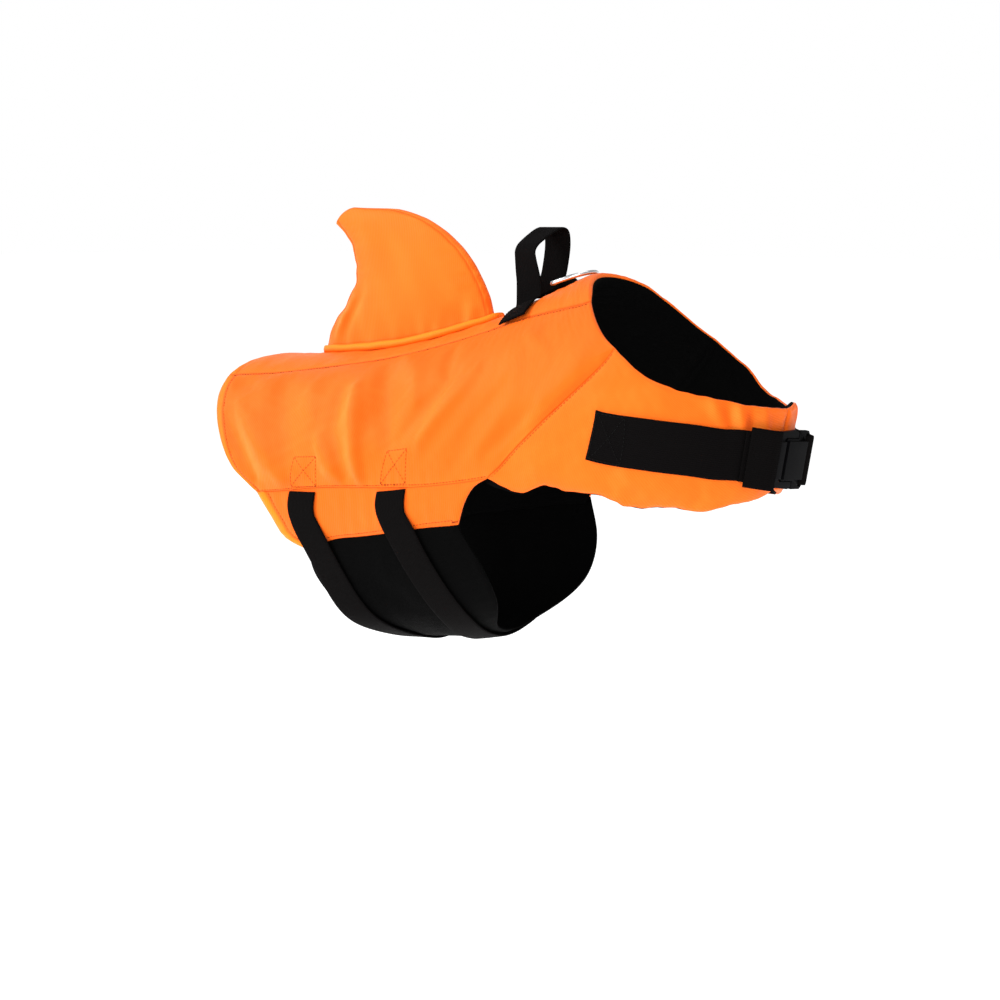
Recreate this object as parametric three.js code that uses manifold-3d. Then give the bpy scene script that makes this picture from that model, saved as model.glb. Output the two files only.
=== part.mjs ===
// Dog life jacket, worn form: foam panels, black belly panel, back fin, handle, ring, straps and buckles.
// Millimetres. +X towards the head, +Y the wearer's left, +Z up.
// The origin is on the lining at the withers, where the jacket hangs on the back.
import * as THREE from "three";
import Module from "manifold-3d";
import { mergeVertices } from "three/addons/utils/BufferGeometryUtils.js";

const wasm = await Module();
wasm.setup();

// Driving sizes
const partGap = 0.3;
const restGap = 0.8;
const buckleGap = 2.2;
const liningWall = 1.2;
const webbingWall = 1.6;
const bellyStrapWidth = 30;
const chestStrapWidth = 38;
const chestTabWidth = 44;
const handleWidth = 25;
const ringWire = 3.6;
const ringWidth = 36;
const ringReach = 27;
const ringBarX = 15;
const finHalfThickness = 15;
const finEdge = 1.2;

// Steps of the panel grids
const lengthSteps = 20;
const sideSteps = 9;
const neckSteps = 2;
const bandSteps = 2;
const topSteps = 4;
const bellySteps = 12;
const frontSteps = 13;

// Cross sections of the jacket's outside: the rear edge, loin, fin, ribs, withers, chest and neckline.
// Each is a plane ring from a point on the spine (top) to a point under the body (low), half as wide as
// half says. widest tells how far down it is widest, and the rounds how square its two halves are.
const sections = [
  { topX: -315, topZ: -59, lowX: -315, lowZ: -233, half: 86, widest: 0.45, topRound: 2.2, lowRound: 2 },
  { topX: -230, topZ: -44, lowX: -230, lowZ: -271, half: 93, widest: 0.45, topRound: 2.2, lowRound: 2 },
  { topX: -130, topZ: -31, lowX: -130, lowZ: -276, half: 96, widest: 0.45, topRound: 2.2, lowRound: 2 },
  { topX: -50, topZ: -11, lowX: -45, lowZ: -266, half: 96, widest: 0.46, topRound: 2.2, lowRound: 2 },
  { topX: 0, topZ: 9, lowX: 75, lowZ: -223, half: 94, widest: 0.48, topRound: 2.1, lowRound: 2 },
  { topX: 28, topZ: 21, lowX: 182, lowZ: -150, half: 85, widest: 0.5, topRound: 2, lowRound: 1.9 },
  { topX: 48, topZ: 29, lowX: 206, lowZ: -65, half: 68, widest: 0.5, topRound: 2, lowRound: 1.9 },
];

// Cutting lines. place counts sections from the rear, turn is degrees down from the spine.
const corners = {
  rearTop: { place: 0.17, turn: 30 },
  rearStitch: { place: 1.0, turn: 92 },
  rearHem: { place: 1.52, turn: 112.5 },
  neckTop: { place: 5.8, turn: 46 },
  neckSeam: { place: 5.65, turn: 77 },
  armTop: { place: 3.63, turn: 93 },
  armLow: { place: 3.26, turn: 105.5 },
  frontTop: { place: 6.0, turn: 179.2 },
  frontLow: { place: 5.32, turn: 179.2 },
};
const cuts = {
  topSeam: [
    corners.rearTop,
    { place: 1.0, turn: 28 },
    { place: 2.0, turn: 24 },
    { place: 3.0, turn: 24 },
    { place: 4.2, turn: 30 },
    { place: 5.1, turn: 37 },
    corners.neckTop,
  ],
  stitchSeam: [
    corners.rearStitch,
    { place: 1.72, turn: 89 },
    { place: 2.4, turn: 89.5 },
    { place: 3.02, turn: 91 },
    corners.armTop,
  ],
  hem: [
    corners.rearHem,
    { place: 1.8, turn: 107.5 },
    { place: 2.1, turn: 106 },
    { place: 2.85, turn: 104.3 },
    corners.armLow,
  ],
  rearSide: [
    corners.rearTop,
    { place: 0.2, turn: 45 },
    { place: 0.4, turn: 67 },
    { place: 0.64, turn: 83 },
    corners.rearStitch,
  ],
  rearBand: [corners.rearStitch, { place: 1.16, turn: 101 }, { place: 1.27, turn: 108 }, corners.rearHem],
  neckBit: [corners.neckTop, { place: 5.68, turn: 59 }, { place: 5.63, turn: 69 }, corners.neckSeam],
  shoulderSeam: [
    corners.neckSeam,
    { place: 4.98, turn: 76 },
    { place: 4.47, turn: 80 },
    { place: 4.03, turn: 86 },
    corners.armTop,
  ],
  armhole: [corners.armTop, { place: 3.47, turn: 94.5 }, { place: 3.36, turn: 98.5 }, corners.armLow],
  neckline: [
    corners.neckSeam,
    { place: 5.66, turn: 94 },
    { place: 5.76, turn: 111 },
    { place: 5.88, turn: 127 },
    { place: 5.96, turn: 147 },
    { place: 6.0, turn: 165 },
    corners.frontTop,
  ],
  lowerEdge: [
    corners.armTop,
    { place: 3.9, turn: 101 },
    { place: 4.15, turn: 102.5 },
    { place: 4.52, turn: 116.8 },
    { place: 4.84, turn: 136 },
    { place: 5.14, turn: 157.5 },
    corners.frontLow,
  ],
  frontCentre: [corners.frontTop, { place: 5.66, turn: 179.2 }, corners.frontLow],
  rearSpine: [corners.rearTop, { place: 0.22, turn: 16 }, { place: 0.25, turn: 0 }],
  neckSpine: [corners.neckTop, { place: 5.94, turn: 36 }, { place: 6.0, turn: 20 }, { place: 6.0, turn: 0 }],
  bellyRear: [
    corners.rearHem,
    { place: 1.54, turn: 121 },
    { place: 1.7, turn: 134 },
    { place: 1.85, turn: 157 },
    { place: 1.93, turn: 180 },
  ],
  bellyFront: [
    corners.armLow,
    { place: 3.37, turn: 122 },
    { place: 3.36, turn: 138 },
    { place: 3.15, turn: 161 },
    { place: 3.1, turn: 180 },
  ],
};

// How far each panel swells out and how thick its foam is, at its middle and at its seams
const panelBuild = {
  top: { swell: 2.0, seamWall: 2.5, foamWall: 7.0, reach: 28 },
  side: { swell: 3.0, seamWall: 2.5, foamWall: 8.0, reach: 30 },
  band: { swell: 1.0, seamWall: 2.5, foamWall: 4.0, reach: 16 },
  front: { swell: 1.6, seamWall: 2.5, foamWall: 6.0, reach: 24 },
  belly: { swell: 0.6, seamWall: 2.2, foamWall: 2.6, reach: 16 },
};

// Broad soft folds of the side panels: a trough is negative. lean is the place gained per degree of turn.
const sideFolds = [
  { place: 0.72, turn: 68, lean: 0.012, width: 15, run: 20, height: -2.0 },
  { place: 1.62, turn: 58, lean: 0.002, width: 16, run: 24, height: -2.4 },
  { place: 2.05, turn: 62, lean: -0.003, width: 14, run: 22, height: 1.6 },
  { place: 2.52, turn: 55, lean: 0.003, width: 16, run: 20, height: -2.0 },
  { place: 3.25, turn: 66, lean: -0.02, width: 15, run: 18, height: -1.6 },
  { place: 4.1, turn: 52, lean: -0.006, width: 18, run: 18, height: 1.2 },
];

// Outline of the fin on its middle plane, from its base to its tip
const finRows = [
  { rise: 0.0, rearX: -230, rearZ: -42, frontX: -56, frontZ: -8 },
  { rise: 0.12, rearX: -223, rearZ: -22, frontX: -60, frontZ: 8 },
  { rise: 0.25, rearX: -213, rearZ: -3, frontX: -67, frontZ: 22 },
  { rise: 0.38, rearX: -204, rearZ: 14, frontX: -76, frontZ: 36 },
  { rise: 0.5, rearX: -198, rearZ: 26, frontX: -88, frontZ: 49 },
  { rise: 0.62, rearX: -198, rearZ: 37, frontX: -104, frontZ: 61 },
  { rise: 0.74, rearX: -201, rearZ: 48, frontX: -124, frontZ: 71 },
  { rise: 0.86, rearX: -209, rearZ: 58, frontX: -152, frontZ: 78 },
  { rise: 1.0, rearX: -219, rearZ: 66, frontX: -196, frontZ: 79 },
];

// Middle line of the handle's webbing across the spine, from its right foot to its left foot.
// lift is the height over the cloth on a foot, and z the height of the free loop.
const handleRows = [
  { beside: -43, lift: 1.6, x: -7, hug: 1 },
  { beside: -35, lift: 1.6, x: -7, hug: 1 },
  { beside: -27, lift: 2.0, x: -7, hug: 0.9 },
  { beside: -22, z: 9, x: -7, hug: 0.5 },
  { beside: -21, z: 18, x: -7, hug: 0.1 },
  { beside: -21, z: 30, x: -7, hug: 0 },
  { beside: -21.5, z: 41, x: -7.5, hug: 0 },
  { beside: -20.5, z: 47.5, x: -8, hug: 0 },
  { beside: -14, z: 52, x: -8, hug: 0 },
  { beside: -4, z: 56.5, x: -7.5, hug: 0 },
  { beside: 4, z: 61, x: -7, hug: 0 },
  { beside: 9, z: 63, x: -6.5, hug: 0 },
  { beside: 12.5, z: 60, x: -6.5, hug: 0 },
  { beside: 14, z: 52, x: -6.5, hug: 0 },
  { beside: 13.8, z: 40, x: -7, hug: 0 },
  { beside: 13.2, z: 28, x: -7, hug: 0 },
  { beside: 13.8, z: 17, x: -7, hug: 0.1 },
  { beside: 16.5, lift: 4.5, x: -7, hug: 0.6 },
  { beside: 20, lift: 2.0, x: -7, hug: 0.9 },
  { beside: 30, lift: 1.6, x: -7, hug: 1 },
  { beside: 38, lift: 1.6, x: -7, hug: 1 },
];

// Middle lines of the straps on the jacket's outside
const rearStrapLine = [
  { place: 1.54, turn: 91.5 },
  { place: 1.53, turn: 98 },
  { place: 1.65, turn: 110 },
  { place: 1.88, turn: 134 },
  { place: 2.06, turn: 158 },
  { place: 2.13, turn: 180 },
];
const frontStrapLine = [
  { place: 2.56, turn: 92 },
  { place: 2.55, turn: 97 },
  { place: 2.68, turn: 107 },
  { place: 2.86, turn: 125 },
  { place: 2.95, turn: 142 },
  { place: 2.93, turn: 161 },
  { place: 2.91, turn: 180 },
];
const chestStrapLine = [
  { place: 4.75, turn: 94.5 },
  { place: 5.1, turn: 110.5 },
  { place: 5.34, turn: 126 },
];
const chestStrapEnds = {
  right: { place: 5.48, turn: 141, tilt: 33 },
  left: { place: 5.46, turn: 148, tilt: 40 },
};

// Side-release buckles, with the thickness of the bar that the webbing goes round
const buckles = {
  chest: { long: 48, wide: 43, thick: 9, bar: 3.4, webbing: chestStrapWidth },
  belly: { long: 42, wide: 35, thick: 8, bar: 3.4, webbing: bellyStrapWidth },
};

// Where each buckle rests and its spin in its own plane. tilt is how steeply the webbing leaves it, and
// share how much of a strap's whole line lies on the cloth.
const buckleSpots = {
  chest: { place: 5.6, turn: -175, spin: -2 },
  rear: { place: 1.68, turn: 113, spin: -24, tilt: 14, share: 0.77 },
  front: { place: 2.74, turn: 113, spin: -23, tilt: 14, share: 0.755 },
};

// Colours
const colours = {
  orange: 0xff8a2b,
  brightOrange: 0xff9c38,
  black: 0x161616,
  plastic: 0x202124,
  steel: 0xc9ccd0,
};

function material(colour, roughness, metalness = 0) {
  return new THREE.MeshStandardMaterial({ color: colour, roughness, metalness });
}

const jacket = new THREE.Group();
jacket.name = "dog_life_jacket";

function add(name, geometry, finish) {
  const mesh = new THREE.Mesh(geometry, finish);
  mesh.name = name;
  jacket.add(mesh);
}

const orangeCloth = () => material(colours.orange, 0.55);
const blackCloth = () => material(colours.black, 0.85);
const blackPlastic = () => material(colours.plastic, 0.45);

// Form of the worn jacket

const shapeColumns = ["topX", "topZ", "lowX", "lowZ", "half", "widest", "topRound", "lowRound"];

// One value of the sections table at a place between sections, on a smooth curve through the rows
function sectionValue(column, place) {
  const last = sections.length - 1;
  const index = Math.min(Math.max(Math.floor(place), 0), last - 1);
  const part = place - index;
  const b = sections[index][column];
  const c = sections[index + 1][column];
  const a = index > 0 ? sections[index - 1][column] : 2 * b - c;
  const d = index + 2 <= last ? sections[index + 2][column] : 2 * c - b;
  const slope = c - a;
  const bend = 2 * a - 5 * b + 4 * c - d;
  const twist = 3 * b - a - 3 * c + d;
  return b + 0.5 * (slope * part + bend * part ** 2 + twist * part ** 3);
}

function sectionAt(place) {
  return Object.fromEntries(shapeColumns.map((column) => [column, sectionValue(column, place)]));
}

// A point of the jacket's outside. A negative turn is on the wearer's right.
function formPoint(place, turn) {
  const ring = sectionAt(place);
  const angle = THREE.MathUtils.degToRad(turn);
  const rise = Math.cos(angle);
  const round = rise >= 0 ? ring.topRound : ring.lowRound;
  const upward = Math.abs(rise) ** (2 / round);
  const sideways = Math.sign(Math.sin(angle)) * Math.abs(Math.sin(angle)) ** (2 / round);
  const middleX = ring.topX + ring.widest * (ring.lowX - ring.topX);
  const middleZ = ring.topZ + ring.widest * (ring.lowZ - ring.topZ);
  const endX = rise >= 0 ? ring.topX : ring.lowX;
  const endZ = rise >= 0 ? ring.topZ : ring.lowZ;
  return new THREE.Vector3(
    middleX + (endX - middleX) * upward,
    ring.half * sideways,
    middleZ + (endZ - middleZ) * upward,
  );
}

// Directions along the jacket and round it, per unit of place and per degree of turn
function formSlopes(place, turn) {
  const placeStep = 0.01;
  const turnStep = 0.5;
  const along = formPoint(place + placeStep, turn).sub(formPoint(place - placeStep, turn));
  const round = formPoint(place, turn + turnStep).sub(formPoint(place, turn - turnStep));
  return { along: along.divideScalar(2 * placeStep), round: round.divideScalar(2 * turnStep) };
}

function formNormal(place, turn) {
  const { along, round } = formSlopes(place, turn);
  return along.cross(round).normalize();
}

function clothPoint(place, turn, out) {
  return formPoint(place, turn).addScaledVector(formNormal(place, turn), out);
}

// Place on the spine at a distance along X, and turn at a distance beside the spine
function spinePlace(x) {
  let low = 0;
  let high = sections.length - 1;
  for (let step = 0; step < 40; step += 1) {
    const middle = (low + high) / 2;
    if (sectionValue("topX", middle) < x) low = middle;
    else high = middle;
  }
  return (low + high) / 2;
}

function spineTurn(place, beside) {
  const share = Math.abs(beside) / sectionValue("half", place);
  const sine = share ** (sectionValue("topRound", place) / 2);
  return Math.sign(beside) * THREE.MathUtils.radToDeg(Math.asin(Math.min(sine, 1)));
}

// Cutting lines as curves on a flat chart of the cloth, in about real millimetres

const placeLength = 85;
const turnLength = 1.65;

function cutLine(rows) {
  const points = rows.map((row) => new THREE.Vector3(row.place * placeLength, row.turn * turnLength, 0));
  const curve = new THREE.CatmullRomCurve3(points, false, "centripetal");
  curve.arcLengthDivisions = 400;
  return (share) => {
    const spot = curve.getPointAt(Math.min(Math.max(share, 0), 1));
    return new THREE.Vector2(spot.x, spot.y);
  };
}

const flip = (line, turnTotal = 0) => (share) => {
  const spot = line(share);
  return new THREE.Vector2(spot.x, turnTotal * turnLength - spot.y);
};
const joinEnds = (first, second) => (share) => (share <= 0.5 ? first(2 * share) : second(2 - 2 * share));

const lines = Object.fromEntries(Object.entries(cuts).map(([name, rows]) => [name, cutLine(rows)]));

// The side panel's front is its bit of neckline, then the shoulder seam
function sideFront(share) {
  const bend = neckSteps / sideSteps;
  return share <= bend ? lines.neckBit(share / bend) : lines.shoulderSeam((share - bend) / (1 - bend));
}

// A panel between four cutting lines. along goes from start to end, down from first to last.
function patch(first, last, start, end) {
  return (along, down) => {
    const spot = first(along).multiplyScalar(1 - down).addScaledVector(last(along), down);
    spot.addScaledVector(start(down), 1 - along).addScaledVector(end(down), along);
    spot.addScaledVector(first(0), -(1 - along) * (1 - down)).addScaledVector(first(1), -along * (1 - down));
    spot.addScaledVector(last(0), -(1 - along) * down).addScaledVector(last(1), -along * down);
    return spot;
  };
}

const rightSide = (line) => flip(line);
const spots = {
  side: patch(lines.topSeam, lines.stitchSeam, lines.rearSide, sideFront),
  band: patch(lines.stitchSeam, lines.hem, lines.rearBand, lines.armhole),
  front: patch(lines.neckline, lines.lowerEdge, lines.shoulderSeam, lines.frontCentre),
  top: patch(
    lines.topSeam,
    rightSide(lines.topSeam),
    joinEnds(lines.rearSpine, rightSide(lines.rearSpine)),
    joinEnds(lines.neckSpine, rightSide(lines.neckSpine)),
  ),
  belly: patch(
    lines.hem,
    flip(lines.hem, 360),
    joinEnds(lines.bellyRear, flip(lines.bellyRear, 360)),
    joinEnds(lines.bellyFront, flip(lines.bellyFront, 360)),
  ),
};

// Size of a panel on the chart, used to turn millimetres from an edge into shares
function panelSize(spot) {
  const long = spot(0, 0.5).distanceTo(spot(1, 0.5));
  const wide = spot(0.5, 0).distanceTo(spot(0.5, 1));
  return { long, wide };
}

function foldHeight(spot) {
  return sideFolds.reduce((sum, fold) => {
    const turn = Math.abs(spot.y / turnLength);
    const place = spot.x / placeLength;
    const across = ((place - fold.place - fold.lean * (turn - fold.turn)) * placeLength) / fold.width;
    const down = (turn - fold.turn) / fold.run;
    return sum + fold.height * Math.exp(-(across ** 2) - down ** 2);
  }, 0);
}

// How full a panel is, from 0 at its edges to 1 a short way in
function fullness(build, size, along, down) {
  const edge = Math.min(along * size.long, (1 - along) * size.long, down * size.wide, (1 - down) * size.wide);
  const share = Math.min(Math.max(edge / build.reach, 0), 1);
  return share * (2 - share);
}

// Heights of a panel's outer and inner face over the form
function panelFaces(kind, along, down) {
  const build = panelBuild[kind];
  const size = panelSize(spots[kind]);
  const full = fullness(build, size, along, down);
  const fold = kind === "side" ? foldHeight(spots.side(along, down)) * full : 0;
  return {
    outer: build.swell * full + fold,
    inner: -build.seamWall - (build.foamWall - build.seamWall) * full,
  };
}

// A closed wall between two grids of points, its rim closed all round. crossed tells which columns of
// quads are split along their other diagonal.
function wall(steps, rows, outer, inner, crossed = () => false) {
  const corner = [];
  [outer, inner].forEach((face) => {
    for (let i = 0; i <= steps; i += 1) {
      for (let j = 0; j <= rows; j += 1) corner.push(...face(i, j).toArray());
    }
  });
  const half = (steps + 1) * (rows + 1);
  const at = (i, j, face) => face * half + i * (rows + 1) + j;
  const index = [];
  const quad = (a, b, c, d) => index.push(a, b, c, a, c, d);
  for (let i = 0; i < steps; i += 1) {
    for (let j = 0; j < rows; j += 1) {
      if (crossed(j)) {
        quad(at(i + 1, j, 0), at(i + 1, j + 1, 0), at(i, j + 1, 0), at(i, j, 0));
        quad(at(i, j + 1, 1), at(i + 1, j + 1, 1), at(i + 1, j, 1), at(i, j, 1));
      } else {
        quad(at(i, j, 0), at(i + 1, j, 0), at(i + 1, j + 1, 0), at(i, j + 1, 0));
        quad(at(i, j, 1), at(i, j + 1, 1), at(i + 1, j + 1, 1), at(i + 1, j, 1));
      }
    }
  }
  for (let i = 0; i < steps; i += 1) {
    quad(at(i, 0, 0), at(i, 0, 1), at(i + 1, 0, 1), at(i + 1, 0, 0));
    quad(at(i, rows, 0), at(i + 1, rows, 0), at(i + 1, rows, 1), at(i, rows, 1));
  }
  for (let j = 0; j < rows; j += 1) {
    quad(at(0, j, 0), at(0, j + 1, 0), at(0, j + 1, 1), at(0, j, 1));
    quad(at(steps, j, 0), at(steps, j, 1), at(steps, j + 1, 1), at(steps, j + 1, 0));
  }
  return closedGeometry(corner, index);
}

// Geometry from points and triangles, turned so that its faces point out
function closedGeometry(corner, index) {
  const a = new THREE.Vector3();
  const b = new THREE.Vector3();
  const c = new THREE.Vector3();
  let volume = 0;
  for (let k = 0; k < index.length; k += 3) {
    a.fromArray(corner, index[k] * 3);
    b.fromArray(corner, index[k + 1] * 3);
    c.fromArray(corner, index[k + 2] * 3);
    volume += a.dot(b.cross(c));
  }
  const facing = volume >= 0 ? index : index.slice().reverse();
  const geometry = new THREE.BufferGeometry();
  geometry.setAttribute("position", new THREE.Float32BufferAttribute(corner, 3));
  geometry.setIndex(facing);
  return geometry;
}

// Shares of a panel's grid, drawn in by half the gap at its seams
function gridShare(step, steps, length) {
  const inset = partGap / 2 / length;
  return inset + (1 - 2 * inset) * (step / steps);
}

function addPanel(name, kind, side, steps, rows, finish) {
  const spot = spots[kind];
  const size = panelSize(spot);
  const face = (which) => (i, j) => {
    const along = gridShare(i, steps, size.long);
    const down = gridShare(j, rows, size.wide);
    const place = spot(along, down);
    const height = panelFaces(kind, along, down)[which];
    return clothPoint(place.x / placeLength, (side * place.y) / turnLength, height);
  };
  add(name, wall(steps, rows, face("outer"), face("inner")), finish);
}

const sides = [
  { name: "right", side: -1 },
  { name: "left", side: 1 },
];

function addPanels() {
  addPanel("top_panel", "top", 1, lengthSteps, topSteps, orangeCloth());
  sides.forEach(({ name, side }) => {
    addPanel(`side_panel_${name}`, "side", side, lengthSteps, sideSteps, orangeCloth());
    addPanel(`lower_band_${name}`, "band", side, lengthSteps, bandSteps, orangeCloth());
    addPanel(`front_panel_${name}`, "front", side, frontSteps, sideSteps - neckSteps, orangeCloth());
  });
  addPanel("belly_panel", "belly", 1, lengthSteps, bellySteps, blackCloth());
}

// The body lining is cut in one from hem to hem, behind the top, side and band panels
function liningColumns() {
  const column = (kind, side, down) => ({ kind, side, down });
  const half = [];
  for (let j = 0; j < bandSteps; j += 1) half.push(column("band", 1, 1 - j / bandSteps));
  for (let j = 0; j < sideSteps; j += 1) half.push(column("side", 1, 1 - j / sideSteps));
  const middle = [];
  for (let j = 0; j <= topSteps; j += 1) middle.push(column("top", 1, j / topSteps));
  const other = half.map((entry) => ({ ...entry, side: -1 })).reverse();
  return [...half, ...middle, ...other];
}

function liningFace(kind, side, along, down, depth) {
  const place = spots[kind](along, down);
  const height = panelFaces(kind, along, down).inner - partGap - depth;
  return clothPoint(place.x / placeLength, (side * place.y) / turnLength, height);
}

function addLinings() {
  const columns = liningColumns();
  const bodyFace = (depth) => (i, j) => {
    const { kind, side, down } = columns[j];
    return liningFace(kind, side, i / lengthSteps, down, depth);
  };
  const leftColumns = bandSteps + sideSteps;
  const crossed = (j) => j < leftColumns;
  const body = wall(lengthSteps, columns.length - 1, bodyFace(0), bodyFace(liningWall), crossed);
  add("lining_body", body, blackCloth());
  const rows = sideSteps - neckSteps;
  const size = panelSize(spots.front);
  sides.forEach(({ name, side }) => {
    const face = (depth) => (i, j) => {
      const along = gridShare(i, frontSteps, size.long);
      return liningFace("front", side, along, gridShare(j, rows, size.wide), depth);
    };
    add(`lining_front_${name}`, wall(frontSteps, rows, face(0), face(liningWall)), blackCloth());
  });
}

// Spine surface, swollen as the top panel is, for what is sewn on the back
function backPoint(x, beside, out) {
  const place = spinePlace(x);
  return clothPoint(place, spineTurn(place, beside), panelBuild.top.swell + out);
}

// Value between the rows of a short table
function tableValue(rows, key, column, value) {
  const last = rows.length - 1;
  const next = rows.findIndex((row) => row[key] >= value);
  const upper = next < 1 ? 1 : next;
  const lower = Math.min(upper, last) - 1;
  const low = rows[lower];
  const high = rows[lower + 1];
  const share = (value - low[key]) / (high[key] - low[key]);
  return low[column] + (high[column] - low[column]) * share;
}

const patchWall = 1.8;
const finFoot = restGap + patchWall + 0.8;

// Half thickness of the stuffed fin: full low down, thin along its sewn outline
function finHalf(across, rise) {
  const profile = (4 * across * (1 - across)) ** 0.6;
  const taper = 1 - 0.72 * rise ** 1.4;
  return finEdge + finHalfThickness * profile * taper;
}

function addFin() {
  const acrossSteps = 12;
  const riseSteps = 11;
  const point = (side, full) => (i, j) => {
    const across = i / acrossSteps;
    const rise = j / riseSteps;
    const value = (column) => tableValue(finRows, "rise", column, rise);
    const rearX = value("rearX");
    const x = rearX + (value("frontX") - rearX) * across;
    const line = value("rearZ") + (value("frontZ") - value("rearZ")) * across;
    const half = full ? finHalf(across, rise) : 0;
    const foot = backPoint(x, side * half, finFoot).z;
    const base = finRows[0];
    const baseShare = (x - base.rearX) / (base.frontX - base.rearX);
    const baseLine = base.rearZ + (base.frontZ - base.rearZ) * baseShare;
    const z = line + (foot - baseLine) * (1 - rise) ** 2;
    return new THREE.Vector3(x, side * (partGap / 2 + half), z);
  };
  sides.forEach(({ name, side }) => {
    const geometry = wall(acrossSteps, riseSteps, point(side, true), point(side, false));
    add(`fin_${name}`, geometry, orangeCloth());
  });
}

// The long patch that the fin is sewn to, with round ends
function addFinBase() {
  const steps = 16;
  const rows = 4;
  const rearX = -240;
  const frontX = -46;
  const halfWidth = 22;
  const face = (out) => (i, j) => {
    const along = 0.5 - 0.5 * Math.cos((Math.PI * i) / steps);
    const x = rearX + (frontX - rearX) * along;
    const width = 3 + (halfWidth - 3) * Math.sin(Math.PI * along) ** 0.45;
    return backPoint(x, width * (1 - (2 * j) / rows), out);
  };
  const finish = material(colours.brightOrange, 0.5);
  add("fin_base", wall(steps, rows, face(restGap + patchWall), face(restGap)), finish);
}

// A strip of webbing through cross lines, each with its points and its way out of the strip
function webbing(crossLines) {
  const acrossRows = crossLines[0].points.length - 1;
  const face = (half) => (i, j) => {
    const line = crossLines[i];
    return line.points[j].clone().addScaledVector(line.out, half * webbingWall);
  };
  return wall(crossLines.length - 1, acrossRows, face(0.5), face(-0.5));
}

// Cross lines of a strip whose middle line lies over the spine
function spineLines(middle, width, acrossRows) {
  const last = middle.length - 1;
  return middle.map((spot, i) => {
    const run = middle[Math.min(i + 1, last)].clone().sub(middle[Math.max(i - 1, 0)]).normalize();
    const points = [];
    for (let j = 0; j <= acrossRows; j += 1) {
      const beside = width * (0.5 - j / acrossRows);
      points.push(new THREE.Vector3(spot.x, beside, spot.z));
    }
    return { points, out: new THREE.Vector3(-run.z, 0, run.x) };
  });
}

// The handle's strip runs across the spine, so its width lies along the body
function addHandle() {
  const acrossRows = 4;
  const middle = handleRows.map((row) => {
    const z = row.z === undefined ? backPoint(row.x, row.beside, 0).z + row.lift : row.z;
    return new THREE.Vector3(row.x, row.beside, z);
  });
  const last = middle.length - 1;
  const crossLines = middle.map((spot, i) => {
    const run = middle[Math.min(i + 1, last)].clone().sub(middle[Math.max(i - 1, 0)]).normalize();
    const points = [];
    for (let j = 0; j <= acrossRows; j += 1) {
      const x = spot.x + handleWidth * (j / acrossRows - 0.5);
      const rise = backPoint(x, spot.y, 0).z - backPoint(spot.x, spot.y, 0).z;
      points.push(new THREE.Vector3(x, spot.y, spot.z + rise * handleRows[i].hug));
    }
    return { points, out: new THREE.Vector3(0, -run.z, run.y) };
  });
  add("handle", webbing(crossLines), blackCloth());
}

// The ring lies forward on the back, its bar held in a webbing tab in front of the handle

const ringBarLift = restGap + webbingWall + 0.4 + ringWire / 2;

function ringFrame() {
  const bar = backPoint(ringBarX, 0, ringBarLift);
  const tip = backPoint(ringBarX + ringReach * 0.93, 0, restGap + ringWire / 2);
  const forward = tip.clone().sub(bar).normalize();
  return { bar, forward, up: new THREE.Vector3(-forward.z, 0, forward.x) };
}

function addRing() {
  const { bar, forward, up } = ringFrame();
  const halfWidth = ringWidth / 2;
  const bowSteps = 14;
  const barSteps = 4;
  const sidesOfWire = 8;
  const path = [];
  for (let k = 0; k <= bowSteps; k += 1) {
    const angle = (Math.PI * k) / bowSteps;
    path.push(new THREE.Vector2(ringReach * Math.sin(angle) ** 0.8, -halfWidth * Math.cos(angle)));
  }
  for (let k = 1; k < barSteps; k += 1) {
    path.push(new THREE.Vector2(0, halfWidth - (ringWidth * k) / barSteps));
  }
  const corner = [];
  path.forEach((spot, k) => {
    const before = path[(k + path.length - 1) % path.length];
    const after = path[(k + 1) % path.length];
    const run = after.clone().sub(before).normalize();
    for (let side = 0; side < sidesOfWire; side += 1) {
      const angle = (2 * Math.PI * side) / sidesOfWire;
      const outward = (Math.cos(angle) * ringWire) / 2;
      const flat = spot.clone().add(new THREE.Vector2(run.y, -run.x).multiplyScalar(outward));
      const place = bar.clone().addScaledVector(forward, flat.x).setY(flat.y);
      place.addScaledVector(up, (Math.sin(angle) * ringWire) / 2);
      corner.push(...place.toArray());
    }
  });
  const index = [];
  path.forEach((spot, k) => {
    const next = (k + 1) % path.length;
    for (let side = 0; side < sidesOfWire; side += 1) {
      const beside = (side + 1) % sidesOfWire;
      const a = k * sidesOfWire + side;
      const b = next * sidesOfWire + side;
      const c = next * sidesOfWire + beside;
      const d = k * sidesOfWire + beside;
      index.push(a, b, c, a, c, d);
    }
  });
  add("d_ring", closedGeometry(corner, index), material(colours.steel, 0.25, 1));
}

function addRingTab() {
  const { bar } = ringFrame();
  const tabWidth = 24;
  const tailX = -6;
  const foldRadius = ringWire / 2 + 0.4 + webbingWall / 2;
  const points = [];
  [tailX, tailX / 2, 1, 6, 11].forEach((x) => points.push(backPoint(x, 0, restGap + webbingWall / 2)));
  const turns = 7;
  const slope = Math.atan2(bar.z - points[points.length - 1].z, bar.x - points[points.length - 1].x);
  for (let k = 0; k <= turns; k += 1) {
    const angle = -Math.PI / 2 + slope * 0.4 + (Math.PI * k) / turns;
    const spoke = new THREE.Vector3(Math.cos(angle), 0, Math.sin(angle));
    points.push(bar.clone().addScaledVector(spoke, foldRadius));
  }
  points.push(backPoint(ringBarX - 5.5, 0, ringBarLift + foldRadius - 0.6));
  add("ring_tab", webbing(spineLines(points, tabWidth, 1)), blackCloth());
}

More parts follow.
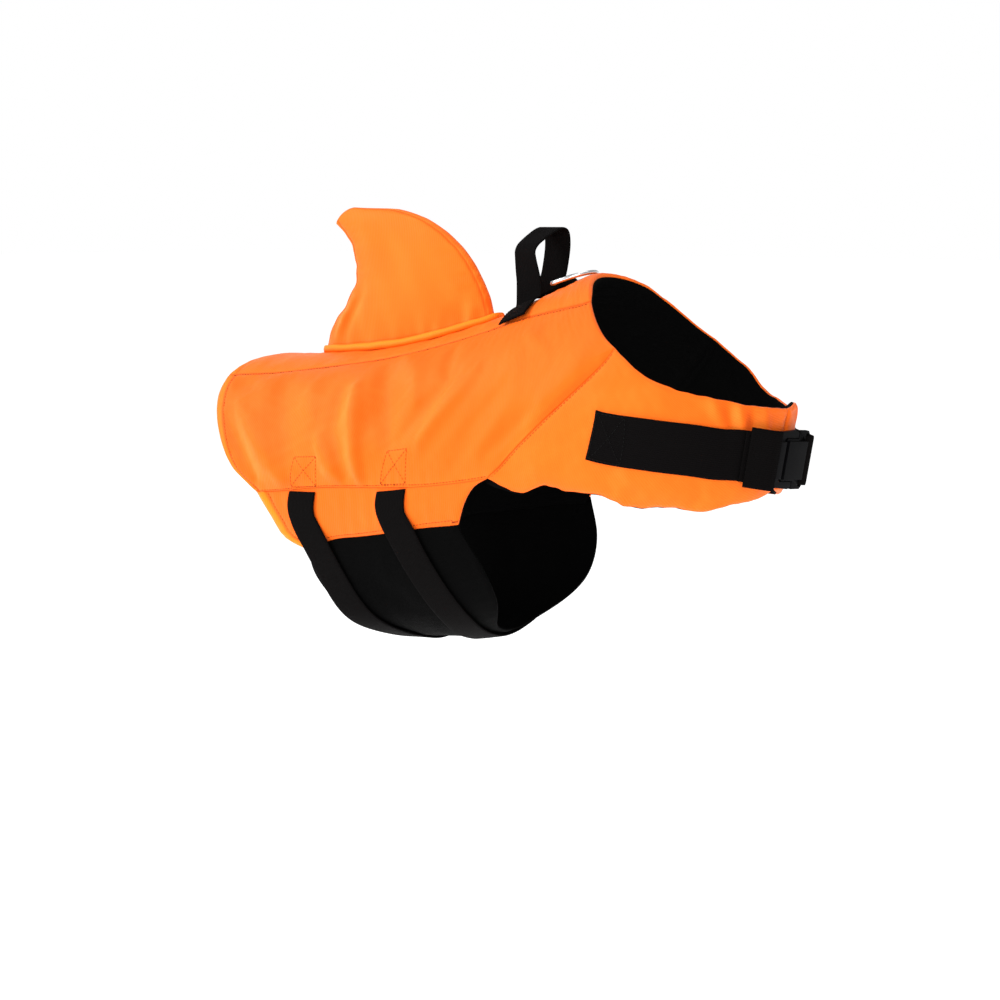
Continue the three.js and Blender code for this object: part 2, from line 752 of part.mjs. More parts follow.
// Cross lines of a strap that follows the outside of the jacket, at a height over the form
function formLines(rows, side, width, height, steps, from = 0, to = 1) {
  const line = cutLine(rows);
  const acrossRows = 3;
  const spotAt = (share) => {
    const spot = line(share);
    return { place: spot.x / placeLength, turn: (side * spot.y) / turnLength };
  };
  const crossLines = [];
  for (let i = 0; i <= steps; i += 1) {
    const share = from + (to - from) * (i / steps);
    const here = spotAt(share);
    const before = spotAt(share - 0.01);
    const after = spotAt(share + 0.01);
    const { along, round } = formSlopes(here.place, here.turn);
    const run = along.clone().multiplyScalar(after.place - before.place);
    run.addScaledVector(round, after.turn - before.turn);
    const placeShare = round.dot(run);
    const turnShare = -along.dot(run);
    const across = along.clone().multiplyScalar(placeShare).addScaledVector(round, turnShare);
    const points = [];
    for (let j = 0; j <= acrossRows; j += 1) {
      const beside = (width * (j / acrossRows - 0.5)) / across.length();
      points.push(clothPoint(here.place + placeShare * beside, here.turn + turnShare * beside, height));
    }
    crossLines.push({ points, out: formNormal(here.place, here.turn) });
  }
  return crossLines;
}

// A buckle's own directions where it rests on the jacket: along its webbing, across it and out
function buckleFrame({ place, turn, spin }, runTurn, height) {
  const out = formNormal(place, turn);
  const ahead = formPoint(place, turn + runTurn).sub(formPoint(place, turn));
  const run = ahead.addScaledVector(out, -ahead.dot(out)).normalize();
  run.applyAxisAngle(out, THREE.MathUtils.degToRad(spin));
  const across = new THREE.Vector3().crossVectors(out, run);
  const frame = new THREE.Matrix4().makeBasis(run, across, out);
  return frame.setPosition(clothPoint(place, turn, height));
}

// A point or direction in the plane through a buckle's bar, leaning with its webbing. away leads from
// the bar along the webbing, and rise stands on it. end is -1 at the plug and 1 at the socket.
function besideBar(end, tilt, away, rise) {
  const lean = THREE.MathUtils.degToRad(tilt);
  const long = away * Math.cos(lean) + rise * Math.sin(lean);
  return new THREE.Vector3(end * long, 0, rise * Math.cos(lean) - away * Math.sin(lean));
}

const barPlace = (buckle) => (buckle.long - buckle.bar) / 2;
const foldClear = (buckle) => buckle.bar * 0.71 + 0.3 + webbingWall / 2;

// Cross lines of a strip at a buckle, from rows of away, rise and the angle it has turned by
function barLines(rows, frame, buckle, end, tilt, width) {
  return rows.map(({ away, rise, angle }) => {
    const points = [];
    for (let j = 0; j <= 3; j += 1) {
      const point = besideBar(end, tilt, away, rise);
      point.x += end * barPlace(buckle);
      point.y = end * width * (j / 3 - 0.5);
      points.push(point.applyMatrix4(frame));
    }
    const out = besideBar(end, tilt, Math.sin(angle), Math.cos(angle)).transformDirection(frame);
    return { points, out };
  });
}

// Webbing that goes under the bar, up through the slot and back over itself to where it is sewn down
function foldLines(frame, buckle, end, tilt, lead, back) {
  const clear = foldClear(buckle);
  const rows = [{ away: lead, rise: -clear, angle: 0 }];
  const turns = 8;
  for (let k = 0; k <= turns; k += 1) {
    const angle = (Math.PI * k) / turns;
    rows.push({ away: -clear * Math.sin(angle), rise: -clear * Math.cos(angle), angle });
  }
  rows.push({ away: 9, rise: clear - 2.2, angle: Math.PI });
  rows.push({ away: 16, rise: webbingWall + 0.6 - clear, angle: Math.PI });
  rows.push({ away: back, rise: webbingWall + 0.4 - clear, angle: Math.PI });
  return barLines(rows, frame, buckle, end, tilt, buckle.webbing);
}

function solid(geometry) {
  geometry.deleteAttribute("normal");
  geometry.deleteAttribute("uv");
  const merged = mergeVertices(geometry, 1e-4);
  const vertProperties = new Float32Array(merged.getAttribute("position").array);
  const triVerts = new Uint32Array(merged.index.array);
  return new wasm.Manifold(new wasm.Mesh({ numProp: 3, vertProperties, triVerts }));
}

// A flat plate of even thickness about the middle plane, from points of its outline
function plate(points, thick) {
  const shape = new THREE.Shape(points.map(([long, across]) => new THREE.Vector2(long, across)));
  const geometry = new THREE.ExtrudeGeometry(shape, { depth: thick, bevelEnabled: false });
  return solid(geometry.translate(0, 0, -thick / 2));
}

function block(from, to, halfWide, thick) {
  const geometry = new THREE.BoxGeometry(to - from, 2 * halfWide, thick);
  return solid(geometry.translate((from + to) / 2, 0, 0));
}

// Both halves of an outline, from the points of one half
const mirrorOutline = (half) => [...half, ...half.map(([long, across]) => [long, -across]).reverse()];

function addHard(name, body, frame) {
  const mesh = body.getMesh();
  const geometry = new THREE.BufferGeometry();
  geometry.setAttribute("position", new THREE.BufferAttribute(mesh.vertProperties, 3));
  geometry.setIndex(new THREE.BufferAttribute(mesh.triVerts, 1));
  add(name, geometry.applyMatrix4(frame), blackPlastic());
}

// A fastened buckle: the plug's two arms stand in the notches at the sides of the socket
function addBuckle(name, buckle, frame) {
  const end = buckle.long / 2;
  const half = buckle.wide / 2;
  const mouth = -end + 15;
  const armEnd = mouth + 17;
  const notch = half - 6;
  const slotHalf = buckle.webbing / 2 + 0.5;
  const slotFar = end - buckle.bar;
  const slotNear = barPlace(buckle) - foldClear(buckle) - webbingWall / 2 - 0.6;
  const plugHalf = [
    [-end, half - 2],
    [-end + 1, half - 1],
    [mouth, half - 1],
    [armEnd - 3, half],
    [armEnd, half - 1.5],
    [armEnd, notch + partGap],
    [mouth + 1.5, notch + partGap],
    [mouth - partGap, notch - 2],
  ];
  const socketHalf = [
    [mouth + 2.4, notch - 1.5],
    [mouth + 3.9, notch],
    [armEnd + 0.8, notch],
    [armEnd + 0.8, half],
    [end - 4, half],
    [end, half - 5],
  ];
  const plugSlot = block(-slotFar, -slotNear, slotHalf, buckle.thick);
  const plugBlock = block(1 - slotNear, mouth - partGap, notch - 2, buckle.thick - 1);
  const plug = plate(mirrorOutline(plugHalf), buckle.bar).subtract(plugSlot).add(plugBlock);
  const socketSlot = block(slotNear, slotFar, slotHalf, buckle.thick);
  const socketBlock = block(mouth + 2.4, slotNear - 0.2, notch - 1.5, buckle.thick);
  const socket = plate(mirrorOutline(socketHalf), buckle.bar).subtract(socketSlot).add(socketBlock);
  addHard(`${name}_plug`, plug, frame);
  addHard(`${name}_socket`, socket, frame);
}

const strapHeight = (kind) => panelBuild[kind].swell + restGap + webbingWall / 2;
const buckleHeight = (kind, buckle) => panelBuild[kind].swell + buckleGap + buckle.thick / 2;

// Each belly strap runs from the right flank under the body to a buckle on the left flank, whose plug
// hangs from a short stub of webbing in the left stitched seam
function addBellyStraps() {
  const buckle = buckles.belly;
  const height = strapHeight("band");
  Object.entries({ rear: rearStrapLine, front: frontStrapLine }).forEach(([name, rows]) => {
    const { tilt, share } = buckleSpots[name];
    const frame = buckleFrame(buckleSpots[name], 4, buckleHeight("band", buckle));
    const mirrored = rows.slice(0, -1).reverse();
    const whole = [...rows, ...mirrored.map((row) => ({ place: row.place, turn: 360 - row.turn }))];
    const strap = formLines(whole, -1, buckle.webbing, height, 24, 0, share);
    const strapFold = foldLines(frame, buckle, 1, tilt, 16, 24);
    add(`belly_strap_${name}`, webbing([...strap, ...strapFold]), blackCloth());
    const stub = formLines(rows, 1, buckle.webbing, height, 2, 0, 0.06);
    const stubFold = foldLines(frame, buckle, -1, tilt, 12, 20);
    add(`belly_stub_${name}`, webbing([...stub, ...stubFold]), blackCloth());
    addBuckle(`belly_buckle_${name}`, buckle, frame);
  });
}

// The chest straps meet at a buckle in front. A wider tab is sewn over the right strap's folded end.
function addChestStraps() {
  const buckle = buckles.chest;
  const frame = buckleFrame(buckleSpots.chest, -4, buckleHeight("front", buckle));
  sides.forEach(({ name, side }) => {
    const end = chestStrapEnds[name];
    const rows = [...chestStrapLine, end];
    const strap = formLines(rows, side, chestStrapWidth, strapHeight("front"), 10);
    const fold = foldLines(frame, buckle, side, end.tilt, 22, 20);
    add(`chest_strap_${name}`, webbing([...strap, ...fold]), blackCloth());
  });
  const over = webbingWall + 0.4;
  const clear = foldClear(buckle);
  const tabRows = [
    { away: -5, rise: clear + over - 1.2, angle: Math.PI },
    { away: 0, rise: clear + over, angle: Math.PI },
    { away: 9, rise: clear + over - 2.2, angle: Math.PI },
    { away: 17, rise: 2 * over + 0.2 - clear, angle: Math.PI },
  ];
  const tab = barLines(tabRows, frame, buckle, -1, chestStrapEnds.right.tilt, chestTabWidth);
  add("chest_tab", webbing(tab), blackCloth());
  addBuckle("chest_buckle", buckle, frame);
}

addPanels();
addLinings();
addFinBase();
addFin();
addHandle();
addRingTab();
addRing();
addBellyStraps();
addChestStraps();

export default jacket;
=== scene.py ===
import math

import bmesh
import bpy
import numpy as np
from mathutils import Matrix, Vector
from mathutils.bvhtree import BVHTree


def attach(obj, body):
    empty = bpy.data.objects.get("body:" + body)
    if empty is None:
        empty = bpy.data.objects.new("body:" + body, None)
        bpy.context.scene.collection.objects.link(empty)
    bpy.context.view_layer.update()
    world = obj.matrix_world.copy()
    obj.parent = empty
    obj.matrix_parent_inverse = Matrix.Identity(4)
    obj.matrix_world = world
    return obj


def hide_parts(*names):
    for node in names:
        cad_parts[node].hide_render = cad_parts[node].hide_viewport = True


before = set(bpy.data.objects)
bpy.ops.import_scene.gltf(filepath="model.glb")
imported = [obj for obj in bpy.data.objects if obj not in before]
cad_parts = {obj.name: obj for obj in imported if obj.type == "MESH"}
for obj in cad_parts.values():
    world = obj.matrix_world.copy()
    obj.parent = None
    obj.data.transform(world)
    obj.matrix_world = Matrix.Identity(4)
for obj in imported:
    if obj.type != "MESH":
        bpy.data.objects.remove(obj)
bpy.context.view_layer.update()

# Lengths are in millimetres up to the point where a mesh is made, and +X is towards the head.
metre = 0.001
placeLength = 85
turnLength = 1.65


# The worn form

# Cross sections of the jacket's outside, from the rear edge to the neckline
sections = {
    "topX": [-315, -230, -130, -50, 0, 28, 48],
    "topZ": [-59, -44, -31, -11, 9, 21, 29],
    "lowX": [-315, -230, -130, -45, 75, 182, 206],
    "lowZ": [-233, -271, -276, -266, -223, -150, -65],
    "half": [86, 93, 96, 96, 94, 85, 68],
    "widest": [0.45, 0.45, 0.45, 0.46, 0.48, 0.5, 0.5],
    "topRound": [2.2, 2.2, 2.2, 2.2, 2.1, 2, 2],
    "lowRound": [2, 2, 2, 2, 2, 1.9, 1.9],
}


def sectionValue(column, place):
    values = np.array(sections[column], float)
    last = len(values) - 1
    padded = np.concatenate([[2 * values[0] - values[1]], values, [2 * values[-1] - values[-2]]])
    index = np.clip(np.floor(place).astype(int), 0, last - 1)
    part = place - index
    a, b, c, d = (padded[index + k] for k in range(4))
    bend = 2 * a - 5 * b + 4 * c - d
    twist = 3 * b - a - 3 * c + d
    return b + 0.5 * ((c - a) * part + bend * part**2 + twist * part**3)


def formPoint(place, turn):
    place, turn = np.broadcast_arrays(np.asarray(place, float), np.asarray(turn, float))
    ring = {column: sectionValue(column, place) for column in sections}
    angle = np.radians(turn)
    rise = np.cos(angle)
    above = rise >= 0
    power = 2 / np.where(above, ring["topRound"], ring["lowRound"])
    upward = np.abs(rise) ** power
    sideways = np.sign(np.sin(angle)) * np.abs(np.sin(angle)) ** power
    middleX = ring["topX"] + ring["widest"] * (ring["lowX"] - ring["topX"])
    middleZ = ring["topZ"] + ring["widest"] * (ring["lowZ"] - ring["topZ"])
    endX = np.where(above, ring["topX"], ring["lowX"])
    endZ = np.where(above, ring["topZ"], ring["lowZ"])
    x = middleX + (endX - middleX) * upward
    z = middleZ + (endZ - middleZ) * upward
    return np.stack([x, ring["half"] * sideways, z], -1)


def unit(vectors):
    return vectors / np.maximum(np.linalg.norm(vectors, axis=-1, keepdims=True), 1e-9)


def formSlopes(place, turn):
    along = (formPoint(place + 0.01, turn) - formPoint(place - 0.01, turn)) / 0.02
    around = formPoint(place, turn + 0.5) - formPoint(place, turn - 0.5)
    return along, around


def formNormal(place, turn):
    along, around = formSlopes(place, turn)
    return unit(np.cross(along, around))


# A bell round a middle value, flat-topped where its power is 4
def bell(value, middle, spread, power=2):
    return np.exp(-(((value - middle) / spread) ** power))


# Where the cloth leaves the plain form: height, then the middle and the spread along and around
reliefs = {"rear": (7.5, 0.2, 0.5, 0, 40), "corner": (7, 1.7, 0.5, 137, 15)}
bellyFlat = {"height": 6, "startTurn": 135, "turnRun": 35, "place": 2.6, "spread": 0.9}


# The foam stands a little higher at the rear of the back. The belly hangs squarer at its rear
# corners and flatter in the middle.
def formRelief(place, turn):
    low = np.abs(turn)
    height, middle, spread, middleTurn, turnSpread = reliefs["rear"]
    rear = height * bell(place, middle, spread) * bell(low, middleTurn, turnSpread, 4)
    height, middle, spread, middleTurn, turnSpread = reliefs["corner"]
    cornered = height * bell(low, middleTurn, turnSpread) * bell(place, middle, spread)
    share = np.clip((low - bellyFlat["startTurn"]) / bellyFlat["turnRun"], 0, 1)
    flattened = bellyFlat["height"] * share * share * (3 - 2 * share)
    flattened = flattened * bell(place, bellyFlat["place"], bellyFlat["spread"], 4)
    return rear + cornered - flattened


def clothPoint(place, turn, out):
    place, turn = np.asarray(place, float), np.asarray(turn, float)
    nearTurn = np.where(np.abs(turn) > 180, 360 - np.abs(turn), turn)
    raised = np.asarray(out) + formRelief(place, nearTurn)
    return formPoint(place, turn) + formNormal(place, turn) * raised[..., None]


def spinePlace(x):
    low, high = 0.0, 6.0
    for step in range(40):
        middle = (low + high) / 2
        if float(sectionValue("topX", np.array(middle))) < x:
            low = middle
        else:
            high = middle
    return (low + high) / 2


def spineTurn(place, beside):
    share = abs(beside) / float(sectionValue("half", np.array(place)))
    sine = min(share ** (float(sectionValue("topRound", np.array(place))) / 2), 1)
    return math.copysign(math.degrees(math.asin(sine)), beside)


def backPoint(x, beside, out):
    place = spinePlace(x)
    turn = spineTurn(place, beside)
    return clothPoint(np.array(place), np.array(turn), panelBuild["top"]["swell"] + out)


# The cut

# Cutting lines as (place, turn): place counts the sections from the rear, turn is degrees down
# from the spine
corner = {
    "rearTop": (0.17, 30),
    "rearStitch": (1.0, 92),
    "rearHem": (1.52, 112.5),
    "neckTop": (5.8, 46),
    "neckSeam": (5.65, 77),
    "armTop": (3.63, 93),
    "armLow": (3.26, 105.5),
    "frontTop": (6.0, 179.2),
    "frontLow": (5.32, 179.2),
}
cuts = {
    "topSeam": ["rearTop", (1, 28), (2, 24), (3, 24), (4.2, 30), (5.1, 37), "neckTop"],
    "stitchSeam": ["rearStitch", (1.72, 89), (2.4, 89.5), (3.02, 91), "armTop"],
    "hem": ["rearHem", (1.8, 107.5), (2.1, 106), (2.85, 104.3), "armLow"],
    "rearSide": ["rearTop", (0.2, 45), (0.4, 67), (0.64, 83), "rearStitch"],
    "rearBand": ["rearStitch", (1.16, 101), (1.27, 108), "rearHem"],
    "neckBit": ["neckTop", (5.68, 59), (5.63, 69), "neckSeam"],
    "shoulderSeam": ["neckSeam", (4.98, 76), (4.47, 80), (4.03, 86), "armTop"],
    "armhole": ["armTop", (3.47, 94.5), (3.36, 98.5), "armLow"],
    "neckline": [
        "neckSeam", (5.66, 94), (5.76, 111), (5.88, 127), (5.96, 147), (6, 165), "frontTop",
    ],
    "lowerEdge": [
        "armTop", (3.9, 101), (4.15, 102.5), (4.52, 116.8), (4.84, 136), (5.14, 157.5), "frontLow",
    ],
    "frontCentre": ["frontTop", (5.66, 179.2), "frontLow"],
    "rearSpine": ["rearTop", (0.22, 16), (0.25, 0)],
    "neckSpine": ["neckTop", (5.94, 36), (6, 20), (6, 0)],
    "bellyRear": ["rearHem", (1.54, 121), (1.7, 134), (1.85, 157), (1.93, 180)],
    "bellyFront": ["armLow", (3.37, 122), (3.36, 138), (3.15, 161), (3.1, 180)],
}


def chartRows(rows):
    spots = [corner[row] if isinstance(row, str) else row for row in rows]
    return np.array([[place * placeLength, turn * turnLength] for place, turn in spots], float)


# Centripetal curve through points, as a function of its share of length.
def smoothLine(points, density=160):
    extended = np.concatenate([[2 * points[0] - points[1]], points, [2 * points[-1] - points[-2]]])
    pieces = []
    for k in range(len(points) - 1):
        p0, p1, p2, p3 = extended[k : k + 4]
        pairs = ((p0, p1), (p1, p2), (p2, p3))
        step = [math.sqrt(max(np.linalg.norm(b - a), 1e-6)) for a, b in pairs]
        start = (p1 - p0) / step[0] - (p2 - p0) / (step[0] + step[1]) + (p2 - p1) / step[1]
        end = (p2 - p1) / step[1] - (p3 - p1) / (step[1] + step[2]) + (p3 - p2) / step[2]
        start, end = start * step[1], end * step[1]
        t = np.linspace(0, 1, density, endpoint=k == len(points) - 2)[:, None]
        square = -3 * p1 + 3 * p2 - 2 * start - end
        cube = 2 * p1 - 2 * p2 + start + end
        pieces.append(p1 + start * t + square * t**2 + cube * t**3)
    path = np.concatenate(pieces)
    gone = np.concatenate([[0], np.cumsum(np.linalg.norm(np.diff(path, axis=0), axis=1))])
    gone /= gone[-1]

    def line(share):
        share = np.clip(share, 0, 1)
        return np.stack([np.interp(share, gone, path[:, k]) for k in range(path.shape[1])], -1)

    return line


lines = {name: smoothLine(chartRows(rows)) for name, rows in cuts.items()}
neckShare = 2 / 9


def mirrorLine(line, turnTotal=0):
    def mirrored(share):
        spot = line(share)
        return np.stack([spot[..., 0], turnTotal * turnLength - spot[..., 1]], -1)

    return mirrored


def joinEnds(first, second):
    def joined(share):
        share = np.asarray(share, float)
        return np.where((share <= 0.5)[..., None], first(2 * share), second(2 - 2 * share))

    return joined


def sideFront(share):
    share = np.asarray(share, float)
    neck = lines["neckBit"](share / neckShare)
    shoulder = lines["shoulderSeam"]((share - neckShare) / (1 - neckShare))
    return np.where((share <= neckShare)[..., None], neck, shoulder)


# A panel between four cutting lines: along goes from start to end, down from first to last.
def patch(first, last, start, end):
    def inside(along, down):
        a, d = along[..., None], down[..., None]
        corners = (1 - a) * (1 - d) * first(0.0) + a * (1 - d) * first(1.0)
        corners = corners + (1 - a) * d * last(0.0) + a * d * last(1.0)
        rows = (1 - d) * first(along) + d * last(along)
        return rows + (1 - a) * start(down) + a * end(down) - corners

    def spot(along, down):
        along, down = np.broadcast_arrays(np.asarray(along, float), np.asarray(down, float))
        heldAlong, heldDown = np.clip(along, 0, 1), np.clip(down, 0, 1)
        return 2 * inside(heldAlong, heldDown) - inside(2 * heldAlong - along, 2 * heldDown - down)

    return spot


def bothSides(name, turnTotal=0):
    return joinEnds(lines[name], mirrorLine(lines[name], turnTotal))


patches = {
    "side": patch(lines["topSeam"], lines["stitchSeam"], lines["rearSide"], sideFront),
    "band": patch(lines["stitchSeam"], lines["hem"], lines["rearBand"], lines["armhole"]),
    "front": patch(
        lines["neckline"], lines["lowerEdge"], lines["shoulderSeam"], lines["frontCentre"],
    ),
    "top": patch(
        lines["topSeam"], mirrorLine(lines["topSeam"]),
        bothSides("rearSpine"), bothSides("neckSpine"),
    ),
    "belly": patch(
        lines["hem"], mirrorLine(lines["hem"], 360),
        bothSides("bellyRear", 360), bothSides("bellyFront", 360),
    ),
}

panelBuild = {
    "top": {"swell": 2.0, "seamWall": 2.5, "foamWall": 7.0, "reach": 28},
    "side": {"swell": 3.0, "seamWall": 2.5, "foamWall": 8.0, "reach": 30},
    "band": {"swell": 1.0, "seamWall": 2.5, "foamWall": 4.0, "reach": 16},
    "front": {"swell": 1.6, "seamWall": 2.5, "foamWall": 6.0, "reach": 24},
    "belly": {"swell": 0.6, "seamWall": 2.2, "foamWall": 2.6, "reach": 16},
}


def panelSize(kind):
    spot = patches[kind]
    long = float(np.linalg.norm(spot(0.0, 0.5) - spot(1.0, 0.5)))
    wide = float(np.linalg.norm(spot(0.5, 0.0) - spot(0.5, 1.0)))
    return long, wide


# Meshes


def newObject(name, points, faces, material):
    mesh = bpy.data.meshes.new(name)
    mesh.from_pydata((np.asarray(points, float) * metre).tolist(), [], faces)
    mesh.materials.append(material)
    mesh.polygons.foreach_set("use_smooth", [True] * len(mesh.polygons))
    mesh.update()
    thing = bpy.data.objects.new(name, mesh)
    bpy.context.scene.collection.objects.link(thing)
    return thing


def setVectors(thing, name, values):
    data = thing.data.attributes.new(name, "FLOAT_VECTOR", "POINT")
    data.data.foreach_set("vector", np.asarray(values, np.float32).ravel())


def setNumbers(thing, name, values):
    data = thing.data.attributes.new(name, "FLOAT", "POINT")
    data.data.foreach_set("value", np.asarray(values, np.float32).ravel())


def volume(points, faces):
    total = 0.0
    for face in faces:
        a = points[face[0]]
        for k in range(1, len(face) - 1):
            total += float(np.dot(a, np.cross(points[face[k]], points[face[k + 1]])))
    return total


# A closed wall between two grids of points. at holds each grid point's place on the flat cloth in
# millimetres, and marks names a value for each grid point, such as its nearness to a seam.
def shell(name, outer, inner, material, at=None, marks=None):
    steps, rows = outer.shape[:2]
    points = np.concatenate([outer.reshape(-1, 3), inner.reshape(-1, 3)])
    half = steps * rows
    grid = np.arange(half).reshape(steps, rows)
    a, b, c, d = grid[:-1, :-1], grid[1:, :-1], grid[1:, 1:], grid[:-1, 1:]
    outside = np.stack([a, b, c, d], -1).reshape(-1, 4)
    inside = np.stack([a, d, c, b], -1).reshape(-1, 4) + half
    faces = outside.tolist() + inside.tolist()
    for i in range(steps - 1):
        faces.append([grid[i, 0], grid[i, 0] + half, grid[i + 1, 0] + half, grid[i + 1, 0]])
        faces.append([grid[i, -1], grid[i + 1, -1], grid[i + 1, -1] + half, grid[i, -1] + half])
    for j in range(rows - 1):
        faces.append([grid[0, j], grid[0, j + 1], grid[0, j + 1] + half, grid[0, j] + half])
        faces.append([grid[-1, j], grid[-1, j] + half, grid[-1, j + 1] + half, grid[-1, j + 1]])
    faces = [[int(v) for v in face] for face in faces]
    if volume(points, faces) < 0:
        faces = [face[::-1] for face in faces]
    thing = newObject(name, points, faces, material)
    if at is None:
        at = gridPlaces(outer)
    flat = np.concatenate([at.reshape(-1, 2), at.reshape(-1, 2)])
    setVectors(thing, "clothAt", np.concatenate([flat, np.zeros((len(flat), 1))], 1))
    for mark, values in (marks or {}).items():
        setNumbers(thing, mark, np.concatenate([values.ravel(), values.ravel()]))
    return thing


# Where each point of a grid lies on the flat cloth, from the lengths along its middle lines.
def gridPlaces(grid):
    middle = grid.shape[1] // 2
    long = np.cumsum(np.linalg.norm(np.diff(grid[:, middle], axis=0), axis=1))
    long = np.concatenate([[0], long])
    gone = np.cumsum(np.linalg.norm(np.diff(grid, axis=1), axis=2), axis=1)
    wide = np.concatenate([np.zeros((grid.shape[0], 1)), gone], 1)
    wide = wide - wide[:, middle : middle + 1]
    return np.stack([np.broadcast_to(long[:, None], wide.shape), wide], -1)


# Catmull-Rom refinement of an array of rows along its first axis.
def smoothRows(rows, factor):
    rows = np.asarray(rows, float)
    extended = np.concatenate([[2 * rows[0] - rows[1]], rows, [2 * rows[-1] - rows[-2]]])
    made = []
    for k in range(len(rows) - 1):
        p0, p1, p2, p3 = extended[k : k + 4]
        for t in np.linspace(0, 1, factor, endpoint=False):
            square = 2 * p0 - 5 * p1 + 4 * p2 - p3
            cube = 3 * p1 - p0 - 3 * p2 + p3
            made.append(p1 + 0.5 * ((p2 - p0) * t + square * t**2 + cube * t**3))
    made.append(rows[-1])
    return np.array(made)


# Smooth uneven waves about one size across, between about -1 and 1.
def ripple(x, y, seed, size):
    rng = np.random.default_rng(seed)
    total = np.zeros(np.broadcast(x, y).shape)
    for k in range(7):
        angle = rng.uniform(0, math.pi)
        wave = 2 * math.pi / (size * rng.uniform(0.7, 1.7))
        phase = rng.uniform(0, 6.28)
        total = total + np.sin(wave * (x * math.cos(angle) + y * math.sin(angle)) + phase)
    return total / 3.2


# Shares of a length, closer together near both ends, for the roll of the cloth into its seams.
def edgeShares(length, step, extra=()):
    near = np.array([0, 0.35, 0.8, 1.4, 2.2, 3.2, 4.6])
    count = max(int(round((length - 13) / step)), 2)
    middle = np.linspace(6.5, length - 6.5, count)
    shares = np.concatenate([near, middle, length - near[::-1]]) / length
    return np.unique(np.concatenate([shares, np.asarray(extra, float)]))


# Materials


def makeGroup(name, inputs, outputs):
    group = bpy.data.node_groups.new(name, "ShaderNodeTree")
    for label, kind, value in inputs:
        socket = group.interface.new_socket(name=label, in_out="INPUT", socket_type=kind)
        if value is not None:
            socket.default_value = value
    for label, kind in outputs:
        group.interface.new_socket(name=label, in_out="OUTPUT", socket_type=kind)
    entry = group.nodes.new("NodeGroupInput")
    leave = group.nodes.new("NodeGroupOutput")
    return group, entry, leave


def feed(tree, node, values):
    for label, value in values.items():
        socket = node.inputs[label]
        if isinstance(value, (int, float, tuple)):
            socket.default_value = value
        else:
            tree.links.new(value, socket)


def mathNode(tree, operation, *values):
    node = tree.nodes.new("ShaderNodeMath")
    node.operation = operation
    feed(tree, node, dict(enumerate(values)))
    return node.outputs[0]


def plus(tree, first, second):
    return mathNode(tree, "ADD", first, second)


def times(tree, first, second):
    return mathNode(tree, "MULTIPLY", first, second)


def attributeNode(tree, name):
    node = tree.nodes.new("ShaderNodeAttribute")
    node.attribute_name = name
    return node


def noiseNode(tree, vector, scale, detail=2.0, roughness=0.5):
    node = tree.nodes.new("ShaderNodeTexNoise")
    feed(tree, node, {"Scale": scale, "Detail": detail, "Roughness": roughness, "Vector": vector})
    return node.outputs["Fac"]


def mixColour(tree, factor, first, second):
    node = tree.nodes.new("ShaderNodeMix")
    node.data_type = "RGBA"
    feed(tree, node, {"Factor": factor, "A": first, "B": second})
    return node.outputs["Result"]


# A colour given as it looks on a screen, 0 to 255, as linear light
def rgba(red, green, blue):
    linear = []
    for value in (red, green, blue):
        share = value / 255
        linear.append(share / 12.92 if share <= 0.04045 else ((share + 0.055) / 1.055) ** 2.4)
    return (*linear, 1.0)


# The place on the flat cloth, and its parts along and across
def flatPlace(tree):
    place = attributeNode(tree, "clothAt").outputs["Vector"]
    split = tree.nodes.new("ShaderNodeSeparateXYZ")
    tree.links.new(place, split.inputs[0])
    return place, split.outputs["X"], split.outputs["Y"]


fullTurn = 6.2832


# Two crossing sets of threads on the flat cloth. Height is for bump, and Tone is 0 to 1.
def wovenGroup():
    group, entry, leave = makeGroup(
        "WovenCloth",
        [("Thread", "NodeSocketFloat", 0.6), ("Slant", "NodeSocketFloat", 1.0)],
        [("Height", "NodeSocketFloat"), ("Tone", "NodeSocketFloat")],
    )
    place, x, y = flatPlace(group)
    wave = mathNode(group, "DIVIDE", fullTurn, entry.outputs["Thread"])
    long, wide = times(group, x, wave), times(group, y, wave)
    slanted = plus(group, times(group, wide, entry.outputs["Slant"]), long)
    crossing = plus(group, times(group, wide, 2.3), times(group, long, 0.4))
    warp = times(group, mathNode(group, "SINE", slanted), 0.35)
    weft = times(group, mathNode(group, "SINE", crossing), 0.12)
    height = plus(group, plus(group, warp, weft), 0.5)
    grain = noiseNode(group, place, 0.9, 3.0, 0.6)
    group.links.new(plus(group, height, times(group, grain, 0.25)), leave.inputs["Height"])
    group.links.new(times(group, plus(group, height, grain), 0.5), leave.inputs["Tone"])
    return group


